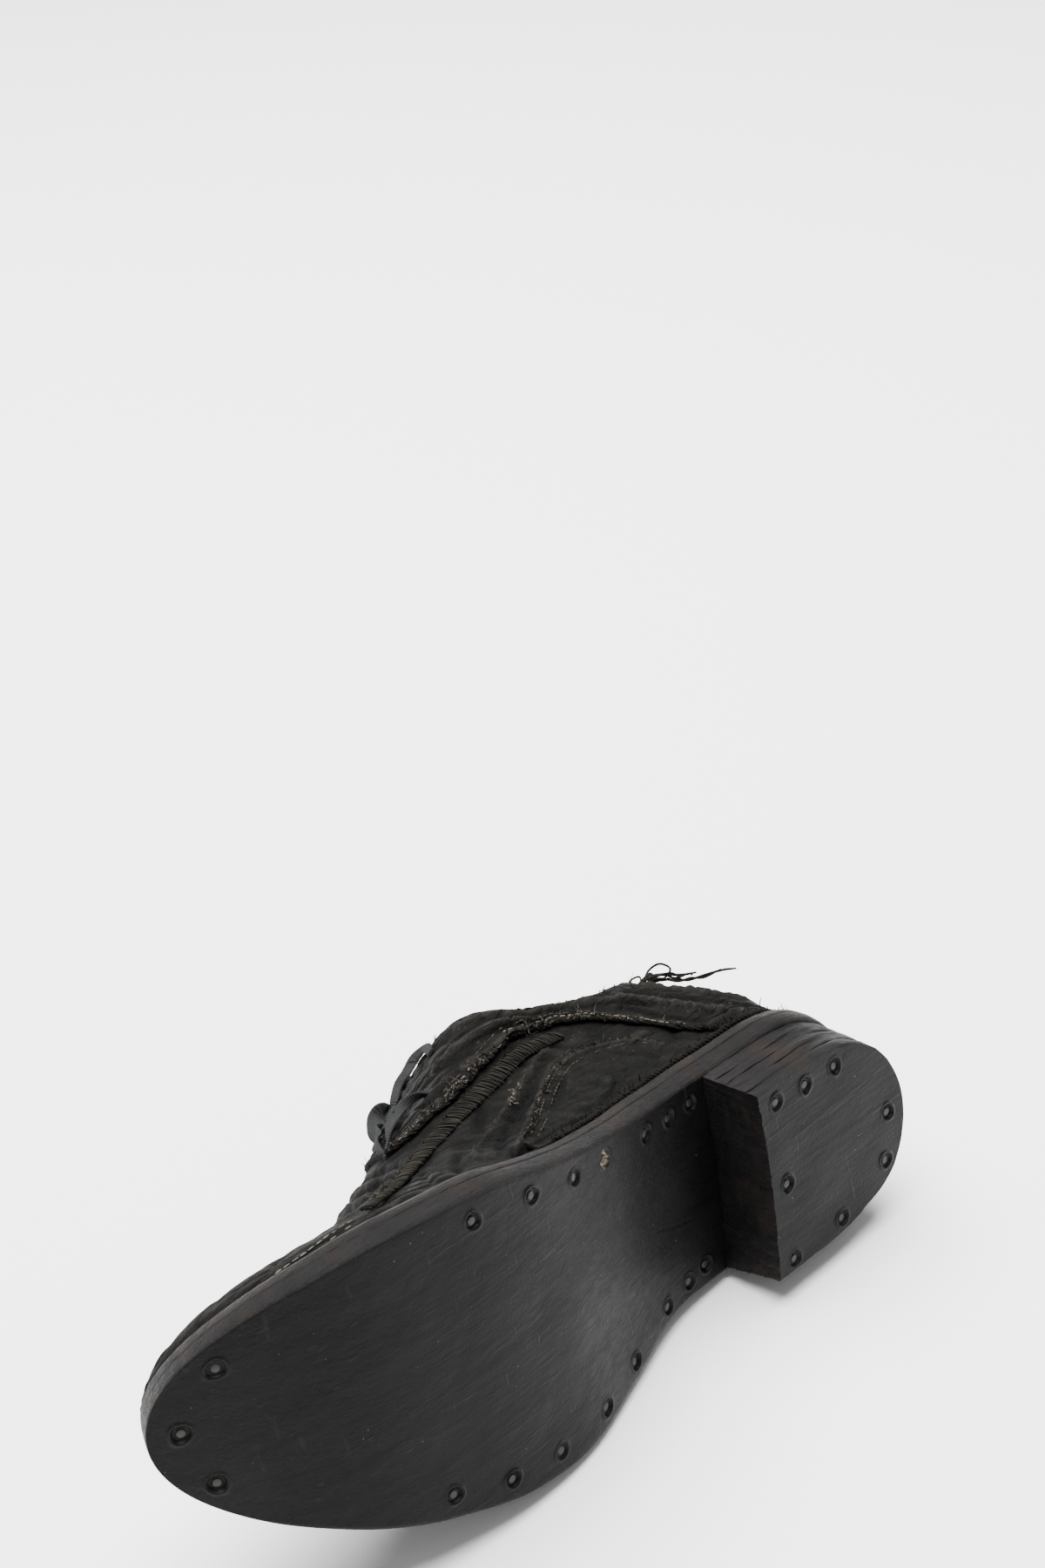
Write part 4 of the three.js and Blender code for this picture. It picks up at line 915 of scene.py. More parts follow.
def nail_dimples(points, spots, depth):
    """Height of the tread around the nails: a dimple with a raised lip, each a little different."""
    height = np.zeros(points.shape[:-1])
    for k, (x, y) in enumerate(spots):
        dx, dy = points[..., 0] - x, points[..., 1] - y
        around = np.arctan2(dy, dx)
        r = np.hypot(dx, dy) * (1 + 0.05 * np.sin(2 * around + k) + 0.04 * np.sin(3 * around + 2 * k))
        lip = (0.3 + 0.08 * (k % 3)) * (0.75 + 0.35 * np.sin(around + 1.7 * k))
        deep = depth * (0.85 + 0.1 * (k % 4))
        height += -deep / (1 + np.exp((r - 2.45) / 0.16)) + lip * np.exp(-(((r - 3.15) / 0.55) ** 2))
    return height


def worn_down(obj, spots, worn, raw_at=None):
    """Subdivides a flat tread round its nails, then gives every point its worn place and relief."""
    flat = np.empty(len(obj.data.vertices) * 3)
    obj.data.vertices.foreach_get("co", flat)
    standing = (flat.reshape(-1, 3) * 1000 - SHIFT) @ TURN
    near = np.zeros(len(standing), bool)
    for x, y in spots:
        near |= np.hypot(standing[:, 0] - x, standing[:, 1] - y) < 5.2
    only(obj)
    bpy.ops.object.mode_set(mode="EDIT")
    bpy.ops.mesh.select_mode(type="VERT")
    bpy.ops.mesh.select_all(action="DESELECT")
    bpy.ops.object.mode_set(mode="OBJECT")
    obj.data.vertices.foreach_set("select", near)
    bpy.ops.object.mode_set(mode="EDIT")
    bpy.ops.mesh.subdivide(number_cuts=3)
    bpy.ops.object.mode_set(mode="OBJECT")
    flat = np.empty(len(obj.data.vertices) * 3)
    obj.data.vertices.foreach_get("co", flat)
    standing, relief = worn((flat.reshape(-1, 3) * 1000 - SHIFT) @ TURN)
    obj.data.vertices.foreach_set("co", standing_to_floor(standing).ravel())
    # The relief becomes painted highlight on the lips and painted shade in the dimples of the tread
    tint = obj.data.attributes.new("relief_mm", "FLOAT", "POINT")
    tint.data.foreach_set("value", relief.astype(np.float32))
    if raw_at is not None:
        dx, dy = standing[:, 0] - raw_at[0], standing[:, 1] - raw_at[1]
        far = np.hypot(dx, dy * 0.8) * (1 + 0.2 * np.sin(3 * np.arctan2(dy, dx) + 0.7))
        raw = obj.data.attributes.new("raw_share", "FLOAT", "POINT")
        raw.data.foreach_set("value", np.exp(-((far / 2.0) ** 6)).astype(np.float32))
    obj.data.update()


def nail_places(nails):
    x = np.array([n[0] for n in nails]) * SOLE_LENGTH
    centre, half = outline(x)
    return np.stack([x, centre + np.array([n[1] for n in nails]) * half], axis=1)


def layer(name, profile, stations, wave, fine_face=False):
    """A sole layer: its edge through the profile's heights and offsets, and a sheet across each end."""
    plan, out = sole_loop(stations)
    rings = []
    for height, offset in profile:
        wobble = wave * ripple(np.c_[plan, np.full(len(plan), height * 3)], 26, SEED + 3)
        rings.append(sole_points(plan, out, height, offset + wobble))
    rings = np.stack(rings)
    wall = sheet_piece(name + "_wall", np.concatenate([rings, rings[:, :1]], axis=1).transpose(1, 0, 2))
    low = across_loop(rings[0], 110 if fine_face else 12)
    parts = [wall, sheet_piece(name + "_low", low), sheet_piece(name + "_high", across_loop(rings[-1], 12))]
    return parts


class SHOE_OT_sole(bpy.types.Operator):
    """Outsole and midsole with a worn edge, nail dimples and a scratch"""

    bl_idname = "shoe.sole"
    bl_label = "Sole"

    def execute(self, context):
        sizes, colours = context.scene.shoe_sizes, context.scene.shoe_colours
        spots = nail_places(SOLE_NAILS)
        scratch = along_path([(86, -11), (96, -8.5), (107, -4.5)], 60)

        def worn_face(low):
            height = nail_dimples(low, spots, sizes.dimple)
            relief = height.copy()
            height += 0.1 * ripple(low, 30, SEED) + 0.04 * ripple(low, 7, SEED + 1)
            gap = np.linalg.norm(low[:, None, :2] - scratch[None, :, :], axis=2).min(axis=1)
            groove = -0.35 * np.exp(-((gap / 0.5) ** 2)) + 0.2 * np.exp(-(((gap - 0.9) / 0.4) ** 2))
            centre, half = outline(low[:, 0])
            border = np.minimum(half - np.abs(low[:, 1] - centre), np.minimum(low[:, 0], SOLE_LENGTH - low[:, 0]))
            height = (height + groove) * np.clip((border - 0.6) / 1.5, 0, 1)
            slope = tread(low[:, 0])[1]
            size = np.hypot(1, slope)
            moved = low + np.stack([height * slope / size, 0 * slope, -height / size], axis=1)
            # The scratch's raised shoulders join the relief and so get the painted highlight
            return moved, relief + 2 * np.maximum(groove, 0)

        profile = [(0, -0.3), (0.15, 0.15), (0.5, 0.6), (1.1, 1.0), (2.2, 1.4), (3.9, 1.85), (5.3, 2.2), (5.9, 2.0)]
        parts = layer("outsole", profile, 360, 0.22, True)
        face, edge = sole_face("tread_leather", colours.sole), sole_edge("outsole_edge", colours.edge)
        paint_parts(parts, ("_low",), face)
        paint_parts(parts, ("_wall", "_high"), edge)
        worn_down(parts[1], spots, worn_face, spots[RAW_NAIL])
        outsole = joined("outsole_leather", parts)
        weld(outsole, 0.00001)
        keep_materials(outsole, ["outsole"], 50)

        profile = [
            (MIDSOLE_BASE, 1.8), (MIDSOLE_BASE + 0.35, 2.25), (MIDSOLE_BASE + 1.8, 2.4),
            (SOLE_TOP - 1.6, 2.35), (SOLE_TOP - 0.5, 2.0), (SOLE_TOP, 1.2),
        ]
        parts = layer("midsole", profile, 360, 0.28)
        midsole = joined("midsole_leather", parts)
        weld(midsole, 0.00001)
        finish_piece(midsole, [sole_edge("midsole_edge", colours.welt)], ["midsole"], 50)
        return {"FINISHED"}


def keep_materials(obj, nodes, angle):
    """As finish_piece, for a piece whose faces already have their materials."""
    only(obj)
    bpy.ops.object.shade_smooth_by_angle(angle=math.radians(angle))
    rest_on_floor(obj)
    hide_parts(*nodes)
    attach(obj, "root")
    return obj


# ---------------------------------------------------------------- heel
def heel_sides(height, count, rows):
    """Sheet across the heel at a height: stations from the back to the breast, medial to lateral."""
    share = min(height / HEEL_HEIGHT, 1)
    inset = HEEL_TAPER * (1 - share)
    front = HEEL_BREAST_AT + BREAST_LEAN * share
    x = front * (1 - np.cos(math.pi / 2 * np.arange(count + 1) / count))
    centre, half = outline(x)
    half = np.maximum(half - inset * np.minimum(half / 12, 1), 0)
    across = np.linspace(1, -1, rows)[None, :]
    place = (inset + x * (front - inset) / front)[:, None]
    hollow = BREAST_HOLLOW * np.cos(across * math.pi / 2) * (np.arange(count + 1) / count)[:, None] ** 8
    return np.stack([place - hollow, centre[:, None] + across * half[:, None], np.zeros((count + 1, rows))], axis=2)


def heel_ring(sheet):
    """The sheet's border: back, medial side, breast, lateral side."""
    return np.concatenate([sheet[:, 0], sheet[-1, 1:-1], sheet[:0:-1, -1]])


def heel_lift(name, low, high, level, seed, count=90, rows=80, first=-0.04):
    """One lift: a worn wall between two sheets."""
    rings = []
    low_sheet = heel_sides(low, count, rows)
    levels = [(first, -0.3), (0.08, -0.05), (0.35, 0.06), (0.65, 0.04), (0.88, -0.06), (1.04, -0.34)]
    for share, offset in levels:
        h = low + (high - low) * share
        ring = heel_ring(heel_sides(h, count, rows))
        step = np.roll(ring, -1, axis=0) - np.roll(ring, 1, axis=0)
        out = unit(np.stack([-step[:, 1], step[:, 0], 0 * step[:, 0]], axis=1))
        top = level(ring[:, 0])
        ring[:, 2] = low + (top - low) * share
        wear = 0.24 * ripple(ring * [1, 1, 5], 22, seed) + 0.16 * ripple(ring * [1, 1, 3], 8, seed + 1)
        corner = np.clip(1 - np.abs(ring[:, 0] - HEEL_BREAST_AT) / 5, 0, 1)
        breast = np.clip((out[:, 0] - 0.6) / 0.3, 0, 1)
        fibrous = 0.16 * ripple(ring * [0, 1, 0.04], 1.3, SEED + 70) + 0.25 * ripple(ring * [0, 1, 0.06], 6, SEED + 71)
        groove = 0.5 + 0.5 * np.clip(ripple(ring * [1, 1, 0.2], 24, seed + 3) + 0.3, 0, 1)
        wear = wear * (1 - breast) + fibrous * breast + corner * 0.25 * ripple(ring, 3, seed + 2)
        rings.append(ring + out * (offset * groove * (1 - 0.9 * breast) + wear)[:, None])
    rings = np.stack(rings)
    n = len(low_sheet)
    strips = (rings[:, :n], rings[:, n + rows - 3 :], rings[:, n - 1 : n + rows - 2])
    strips = (strips[0], np.concatenate([strips[1], rings[:, :1]], axis=1), strips[2])
    names = (name + "_medial", name + "_lateral", name + "_breast")
    walls = [sheet_piece(each, strip.transpose(1, 0, 2)) for each, strip in zip(names, strips)]

    def cap(ring, sheet, z):
        sheet = sheet.copy()
        sheet[..., 2] = z(sheet[..., 0])
        n = len(sheet)
        sheet[:, 0] = ring[:n]
        sheet[-1, 1:-1] = ring[n : n + rows - 2]
        sheet[1:, -1] = ring[n + rows - 2 :][::-1]
        sheet[0, :] = ring[0]
        return sheet

    bottom = cap(rings[0], low_sheet, lambda x: low + (level(x) - low) * first)
    top = cap(rings[-1], heel_sides(high, count, rows), lambda x: low + (level(x) - low) * levels[-1][0])
    return [sheet_piece(name + "_low", bottom), *walls, sheet_piece(name + "_high", top)]


def paint_parts(parts, endings, paint):
    """Gives one material to the parts whose names have one of the endings."""
    for part in parts:
        if part.name.endswith(endings):
            part.data.materials.clear()
            part.data.materials.append(paint)


class SHOE_OT_heel(bpy.types.Operator):
    """Stacked heel: worn leather lifts and a nailed top lift"""

    bl_idname = "shoe.heel"
    bl_label = "Stacked heel"

    def execute(self, context):
        sizes, colours = context.scene.shoe_sizes, context.scene.shoe_colours
        spots = nail_places(HEEL_NAILS)
        lift = (HEEL_HEIGHT - TOP_LIFT_THICKNESS - FIT_GAP) / LIFT_COUNT
        edge = sole_edge("heel_edge", colours.edge, (26, 520, 520))
        breast = sole_edge("heel_breast", tone(colours.edge, 0.42), (700, 26, 700))
        parts = []
        for k in range(LIFT_COUNT):
            low = TOP_LIFT_THICKNESS + FIT_GAP + k * lift
            high = low + lift - FIT_GAP
            last = k == LIFT_COUNT - 1
            level = (lambda x: tread(x)[0] - FIT_GAP) if last else (lambda x, h=high: np.full_like(x, h))
            lift_parts = heel_lift(f"lift_{k}", low, high, level, SEED + 20 + 5 * k, rows=24)
            paint_parts(lift_parts, ("_low", "_high", "_medial", "_lateral"), edge)
            paint_parts(lift_parts, ("_breast",), breast)
            one = joined(f"lift_{k}", lift_parts)
            weld(one, 0.00001)
            parts.append(one)
        stack = joined("heel_stack", parts)
        keep_materials(stack, [f"heel_lift_{k + 1}" for k in range(LIFT_COUNT)], 50)

        def nailed(bottom):
            relief = nail_dimples(bottom, spots, sizes.dimple)
            centre, half = outline(bottom[:, 0])
            border = np.minimum(half - np.abs(bottom[:, 1] - centre), HEEL_BREAST_AT - 1.6 - bottom[:, 0])
            inside = np.clip((border - 2.6) / 1.2, 0, 1)
            height = (relief + 0.06 * ripple(bottom, 18, SEED + 4)) * inside
            # The relief becomes painted highlight on the lips and painted shade in the dimples
            return bottom - height[:, None] * np.array([0, 0, 1.0]), relief * inside

        parts = heel_lift(
            "top_lift", 0, TOP_LIFT_THICKNESS, lambda x: np.full_like(x, TOP_LIFT_THICKNESS), SEED + 50, 90, 80, 0.0
        )
        worn_down(parts[0], spots, nailed)
        face = sole_face("heel_tread", tone(colours.sole, 1.15))
        paint_parts(parts, ("_low",), face)
        paint_parts(parts, ("_medial", "_lateral", "_high"), edge)
        paint_parts(parts, ("_breast",), breast)
        top = joined("top_lift_leather", parts)
        weld(top, 0.00001)
        keep_materials(top, ["top_lift"], 50)
        return {"FINISHED"}


class SHOE_OT_nails(bpy.types.Operator):
    """Worn round nail heads, each sunk in its dimple"""

    bl_idname = "shoe.nails"
    bl_label = "Nails"

    def execute(self, context):
        sizes, colours = context.scene.shoe_sizes, context.scene.shoe_colours
        chance = random.Random(SEED)
        bpy.ops.object.select_all(action="DESELECT")
        bpy.ops.mesh.primitive_cylinder_add(vertices=20, radius=0.0015, depth=0.0017)
        model = bpy.context.object
        modify(model, "BEVEL", width=0.0004, segments=3, limit_method="ANGLE", angle_limit=math.radians(60))
        heads = []
        every = [(p, True) for p in nail_places(SOLE_NAILS)] + [(p, False) for p in nail_places(HEEL_NAILS)]
        for (x, y), on_sole in every:
            z, slope = tread(x) if on_sole else (0.0, 0.0)
            outward = unit(np.array([slope, 0, -1.0]))
            head = model.copy()
            head.data = model.data.copy()
            bpy.context.scene.collection.objects.link(head)
            centre = standing_to_floor(np.array([x, y, float(z)]) - outward * (sizes.dimple * 0.55 + 0.85))
            axis = Vector(TURN @ outward)
            lean = Vector((chance.uniform(-0.08, 0.08), chance.uniform(-0.08, 0.08), chance.uniform(-0.08, 0.08)))
            turn = (axis + lean).to_track_quat("Z", "Y").to_matrix().to_4x4()
            head.data.transform(Matrix.Translation(Vector(centre)) @ turn)
            heads.append(head)
        bpy.data.objects.remove(model)
        piece = joined("nail_heads", heads)
        nodes = [f"nail_{k + 1:02d}" for k in range(len(every))]
        finish_piece(piece, [dark_iron("rubbed_iron", colours.nail)], nodes, 35)
        return {"FINISHED"}


# ---------------------------------------------------------------- upper
def side_sheet(side, u, low, high, rows, lift, height):
    """Points and relief on one side of the form between two lines of w."""
    share = np.linspace(0, 1, rows)[None, :]
    w = low[:, None] * (1 - share) + high[:, None] * share
    uu = np.repeat(u[:, None], rows, axis=1)
    v = v_of(side, w)
    base = form(uu, v)
    relief = height(base, share) + 0 * w
    points = base + form_normal(uu, v) * (lift + relief)[..., None]
    points[..., 2] = np.maximum(points[..., 2], feather(points[..., 0]) - 0.1)
    return points, relief


def leather_wall(name, side, u, low, high, rows, lift, thickness, height, ends=True, inner_rows=14):
    """Leather of real thickness: a detailed outside, a plain inside and the cut edges between them."""
    outside, relief = side_sheet(side, u, low, high, rows, lift, height)
    inside, _ = side_sheet(side, u, low, high, inner_rows, lift - thickness, lambda base, share: 0 * base[..., 0])
    across = np.linspace(0, 1, 5)[None, :, None]
    parts = [sheet_piece(name, outside, relief), sheet_piece(name, inside)]
    for row in (0, -1):
        parts.append(sheet_piece(name, outside[:, row, None] * (1 - across) + inside[:, row, None] * across))
    if ends:
        share, inner = np.linspace(0, 1, rows), np.linspace(0, 1, inner_rows)
        for column in (0, -1):
            back = np.stack([np.interp(share, inner, inside[column, :, k]) for k in range(3)], axis=1)
            parts.append(sheet_piece(name, outside[column, :, None] * (1 - across) + back[:, None] * across))
    return parts


class SHOE_OT_vamp(bpy.types.Operator):
    """Vamp, counter and lining in one creased wall"""

    bl_idname = "shoe.vamp"
    bl_label = "Vamp and lining"

    def execute(self, context):
        sizes, colours = context.scene.shoe_sizes, context.scene.shoe_colours
        lines = crease_lines(VAMP_CREASES, FLEX_CREASES)
        u = np.linspace(0, 1, 400)

        def height(base, share):
            bumps = creased(base, lines, 1.5 * sizes.crease) + sizes.lumps * ripple(base, 16, SEED + 5)
            bumps += 0.5 * sizes.lumps * ripple(base * [0.5, 1, 1], 4.5, SEED + 6)
            bumps += wrinkled(base, 7, SEED + 60) * 0.6 * sizes.crease
            at = base[..., 0] / SOLE_LENGTH
            under_quarter = (base[..., 2] > (table(SEAM, "rise", base[..., 0])) * INSTEP_HEIGHT - 2) & (at < 0.53)
            limit = np.where(under_quarter, 0.2, 3.0)
            return np.clip(bumps, -2.0, limit) * np.clip(share / 0.03, 0.15, 1)

        parts = []
        for side, rows in ((1, 100), (-1, 50)):
            top = w_top(side, u, 0, THROAT_BASE_AT)
            low = np.zeros(len(u))
            parts += leather_wall("vamp_side", side, u, low, top, rows, 0, WALL, height, False, 18)
        vamp = joined("vamp_leather", parts)
        weld(vamp, 0.00002)
        finish_piece(vamp, [dry_leather("vamp_dry_leather", colours.upper, 0.5)], ["upper"], 60)
        return {"FINISHED"}


class SHOE_OT_quarters(bpy.types.Operator):
    """Derby quarters with their lace facings and raw, raised edges"""

    bl_idname = "shoe.quarters"
    bl_label = "Quarters"

    def execute(self, context):
        sizes, colours = context.scene.shoe_sizes, context.scene.shoe_colours
        lines = crease_lines(QUARTER_CREASES)
        u = u_of_x(quarter_stations(380))

        def height(base, share):
            bumps = creased(base, lines, 1.8 * sizes.crease) + sizes.lumps * ripple(base, 13, SEED + 7)
            bumps += 0.5 * sizes.lumps * ripple(base * [0.5, 1, 1], 4, SEED + 8)
            bumps += wrinkled(base, 6, SEED + 61) * 0.75 * sizes.crease
            bumps *= 1 - 0.6 * np.clip((share - 0.85) / 0.15, 0, 1)
            hem = 0.35 * np.exp(-(((1 - share) / 0.04) ** 2)) - 0.5 * np.exp(-((share / 0.05) ** 2))
            return np.maximum(np.clip(bumps, -1.0, 2.4) + hem, -1.05)

        parts = []
        for side, rows in ((1, 84), (-1, 44)):
            low, high = quarter_lines(side, u)
            parts += leather_wall("quarter_side", side, u, low, high, rows, QUARTER_LIFT, OVERLAY_THICKNESS, height)
        quarters = joined("quarter_leather", parts)
        weld(quarters, 0.00002)
        finish_piece(
            quarters, [dry_leather("quarter_dry_leather", tone(colours.upper, 1.1), 0.6)], ["quarters"], 60
        )
        return {"FINISHED"}


def quarter_stations(count):
    """Places along the quarters, closer together at the heel's back and at the steep part of the seam."""
    share = np.linspace(0, 1, count)
    return FORM_HEEL_AT + (0.5395 * SOLE_LENGTH - FORM_HEEL_AT) * (0.35 * share + 0.65 * share**1.6)


def quarter_lines(side, u):
    """Lower and upper edges of the quarters as shares of each section."""
    x = x_of_u(u)
    wobble = 0.7 * ripple(np.stack([x * 1.0, 0 * x, 0 * x + 40 * side], axis=1), 9, SEED + 9)
    low_z = np.maximum(table(SEAM, "rise", x) * INSTEP_HEIGHT + wobble, feather(x))
    low = w_at_height(side, u, low_z)
    front = curve(QUARTER_FRONT["at"], QUARTER_FRONT["rise"], x / SOLE_LENGTH) * INSTEP_HEIGHT
    high = np.minimum(w_top(side, u, 0.6, THROAT_BASE_AT + 30), w_at_height(side, u, front))
    return low, np.maximum(high, low + 0.002)


def band_line(at):
    u = u_of_x(np.asarray(at) * SOLE_LENGTH)
    return u, w_at_height(1, u, curve(BAND["at"], BAND["rise"], at) * INSTEP_HEIGHT)


class SHOE_OT_band(bpy.types.Operator):
    """Whip-stitched band along the medial vamp"""

    bl_idname = "shoe.band"
    bl_label = "Stitched band"

    def execute(self, context):
        colours = context.scene.shoe_colours
        chance = random.Random(SEED + 1)
        at = np.linspace(0.272, 0.717, 150)
        u, w = band_line(at)
        reach = np.linalg.norm(form(u, v_of(1, w + 0.01)) - form(u, v_of(1, w - 0.01)), axis=1) / 0.02
        half = curve(BAND["at"], BAND["half"], at) / reach

        def height(base, share):
            swell = 0.15 * np.sin(math.pi * np.clip(share, 0, 1)) + 0.15 * ripple(base, 3, SEED + 12)
            return swell + 0 * base[..., 0]

        parts = leather_wall("band_strip", 1, u, w - half, w + half, 9, QUARTER_LIFT - 0.6, 0.7, height, True, 5)
        strip = joined("seam_band_strip", parts)
        weld(strip, 0.00001)
        finish_piece(
            strip, [dry_leather("band_dry_leather", tone(colours.upper, 0.8), 0.3)], ["seam_band"], 60
        )
        runs = []
        for k in range(124):
            a = 0.275 + 0.438 * (k + chance.uniform(-0.3, 0.3)) / 123
            u0, w0 = band_line(np.array([a]))
            h = float(np.interp(a, at, half)) * chance.uniform(0.95, 1.4)
            s = np.linspace(-1, 1, 7)
            slant = chance.uniform(0.001, 0.0034)
            lift = QUARTER_LIFT - 0.6 + chance.uniform(0.35, 0.7) * np.sqrt(np.maximum(1 - s**2, 0))
            uu = u0 + slant * s
            vv = v_of(1, w0 + h * s)
            runs.append(tube(form(uu, vv) + form_normal(uu, vv) * lift[:, None], chance.uniform(0.2, 0.31), 6, 0.5))
        ribs = bands("seam_band_stitches", runs)
        finish_piece(ribs, [thread("whip_thread", tone(colours.pale_thread, 0.1))], (), 70)
        return {"FINISHED"}


class SHOE_OT_patch(bpy.types.Operator):
    """Thin patch let in over the medial waist, tucked at the sole"""

    bl_idname = "shoe.patch"
    bl_label = "Side patch"

    def execute(self, context):
        sizes, colours = context.scene.shoe_sizes, context.scene.shoe_colours
        lines = crease_lines(PATCH_CREASES)
        at = 0.208 + 0.287 * (0.5 - 0.5 * np.cos(math.pi * np.linspace(0, 1, 200)))
        u = u_of_x(at * SOLE_LENGTH)
        high = w_at_height(1, u, curve(PATCH["at"], PATCH["rise"], at) * INSTEP_HEIGHT)

        def height(base, share):
            bumps = creased(base, lines, 1.4 * sizes.crease) + 0.3 * ripple(base, 9, SEED + 14) + 0.15 * ripple(base, 3, SEED + 15)
            bumps += wrinkled(base, 8, SEED + 62) * 0.5 * sizes.crease
            hem = 0.45 * np.exp(-(((1 - share) / 0.06) ** 2))
            return np.clip(bumps, -0.7, 1.8) + hem

        low = np.full(len(u), 0.012)
        sunk = np.clip((at - 0.43) / 0.06, 0, 1)
        lift = (OVERLAY_GAP + PATCH_THICKNESS) * (1 - 0.75 * sunk**2 * (3 - 2 * sunk))[:, None]
        patch = joined("patch_leather", leather_wall("patch", 1, u, low, high, 70, lift, PATCH_THICKNESS, height))
        weld(patch, 0.00001)
        finish_piece(
            patch, [dry_leather("patch_dry_leather", tone(colours.upper, 1.2), 0.7)], ["side_patch"], 60
        )
        return {"FINISHED"}


def v_at_distance(u, distance):
    """Section share at a walked distance from the ridge, plus is medial."""
    side = 1 if distance > 0 else -1
    v = 0.5 - side * np.linspace(0, 0.46, 60)
    path = form(np.full(60, float(u)), v)
    walked = np.concatenate([[0], np.cumsum(np.linalg.norm(np.diff(path, axis=0), axis=1))])
    return float(np.interp(abs(distance), walked, v))


class SHOE_OT_tongue(bpy.types.Operator):
    """Soft tongue under the facings"""

    bl_idname = "shoe.tongue"
    bl_label = "Tongue"

    def execute(self, context):
        colours = context.scene.shoe_colours
        top_at = THROAT_TOP_AT - TONGUE_RISE * 0.75
        base_at = THROAT_BASE_AT + 14
        rows = []
        for a in np.linspace(0, 1, 60):
            u = float(u_of_x(top_at + (base_at - top_at) * a))
            half = TONGUE_WIDTH / 2 * (0.86 + 0.14 * min(a * 4, 1))
            v = np.array([v_at_distance(u, half * (1 - 2 * b)) for b in np.linspace(0, 1, 40)])
            base, normal = form(np.full(40, u), v), form_normal(np.full(40, u), v)
            soft = -WALL - TONGUE_CLEARANCE + 0.25 * (ripple(base, 11, SEED + 16) - 1)
            rows.append(base + normal * soft[:, None])
        tongue = sheet_piece("tongue_leather", np.stack(rows))
        weld(tongue, 0.00001)
        modify(tongue, "SOLIDIFY", thickness=(TONGUE_THICKNESS - 0.4) / 1000, offset=-1, use_even_offset=False)
        finish_piece(tongue, [dry_leather("tongue_dry_leather", tone(colours.upper, 0.9), 0.4)], ["tongue"], 60)
        return {"FINISHED"}


class SHOE_OT_insole(bpy.types.Operator):
    """Worn leather of the insole"""

    bl_idname = "shoe.insole"
    bl_label = "Insole"

    def execute(self, context):
        insole = frame["nodes"]["insole"]
        insole.data.materials.clear()
        insole.data.materials.append(dry_leather("insole_leather", (0.075, 0.058, 0.042), 0.3))
        return {"FINISHED"}


# ---------------------------------------------------------------- lace
def eyelet(row, side):
    """u and v of an eyelet, as in the solids."""
    first = THROAT_TOP_AT + 8
    x = first + (THROAT_BASE_AT - 8 - first) * row / (EYELET_COUNT - 1)
    share = (x - first) / (THROAT_BASE_AT - first)
    reach = THROAT_WIDTH * (1 - 0.4 * share) / 2 + EYELET_EDGE_DISTANCE
    u = float(u_of_x(x))
    return u, v_at_distance(u, side * reach)


# Runs of the lace over the throat: eyelet row and side at both ends, height over the facings
LACE_RUNS = [
    (0, 1, 0, -1, 0.9), (1, 1, 1, -1, 1.2), (2, 1, 2, -1, 1.8), (3, 1, 3, -1, 1.2),
    (1, -1, 0, 1, 1.6),
]


# Slack lace beside the throat: points in the standing shoe's frame, the way it faces, width and twist
LACE_SLACKS = [
    ([(113, 41, 109), (109, 39.6, 115), (106.5, 36.4, 120.5), (108, 33, 124), (114, 31, 122), (119, 29, 121),
      (126, 26.5, 116.5), (129, 20, 116.5)], (0.35, 0.8, -0.1), 4.2, 0.5),
    ([(126, 20.5, 119), (129.8, 24.3, 118.3), (133, 23, 118), (139, 23.2, 111.6), (148, 27, 101), (156, 29.5, 91.5),
      (163, 31, 79)], (0.63, 0.34, -0.69), 7.0, 0.4),
    ([(136, 42.4, 84), (140, 42.4, 87), (144.5, 40.6, 88.5), (150, 39, 86.6), (156, 37.6, 83), (161, 34, 80)],
     (0.3, 0.8, -0.2), 3.4, 2.2),
    ([(146, 37, 93), (151, 36.6, 89.5), (156, 35.6, 84.5), (161, 33.6, 79)], (0.4, 0.7, 0.2), 3.0, 1.2),
]


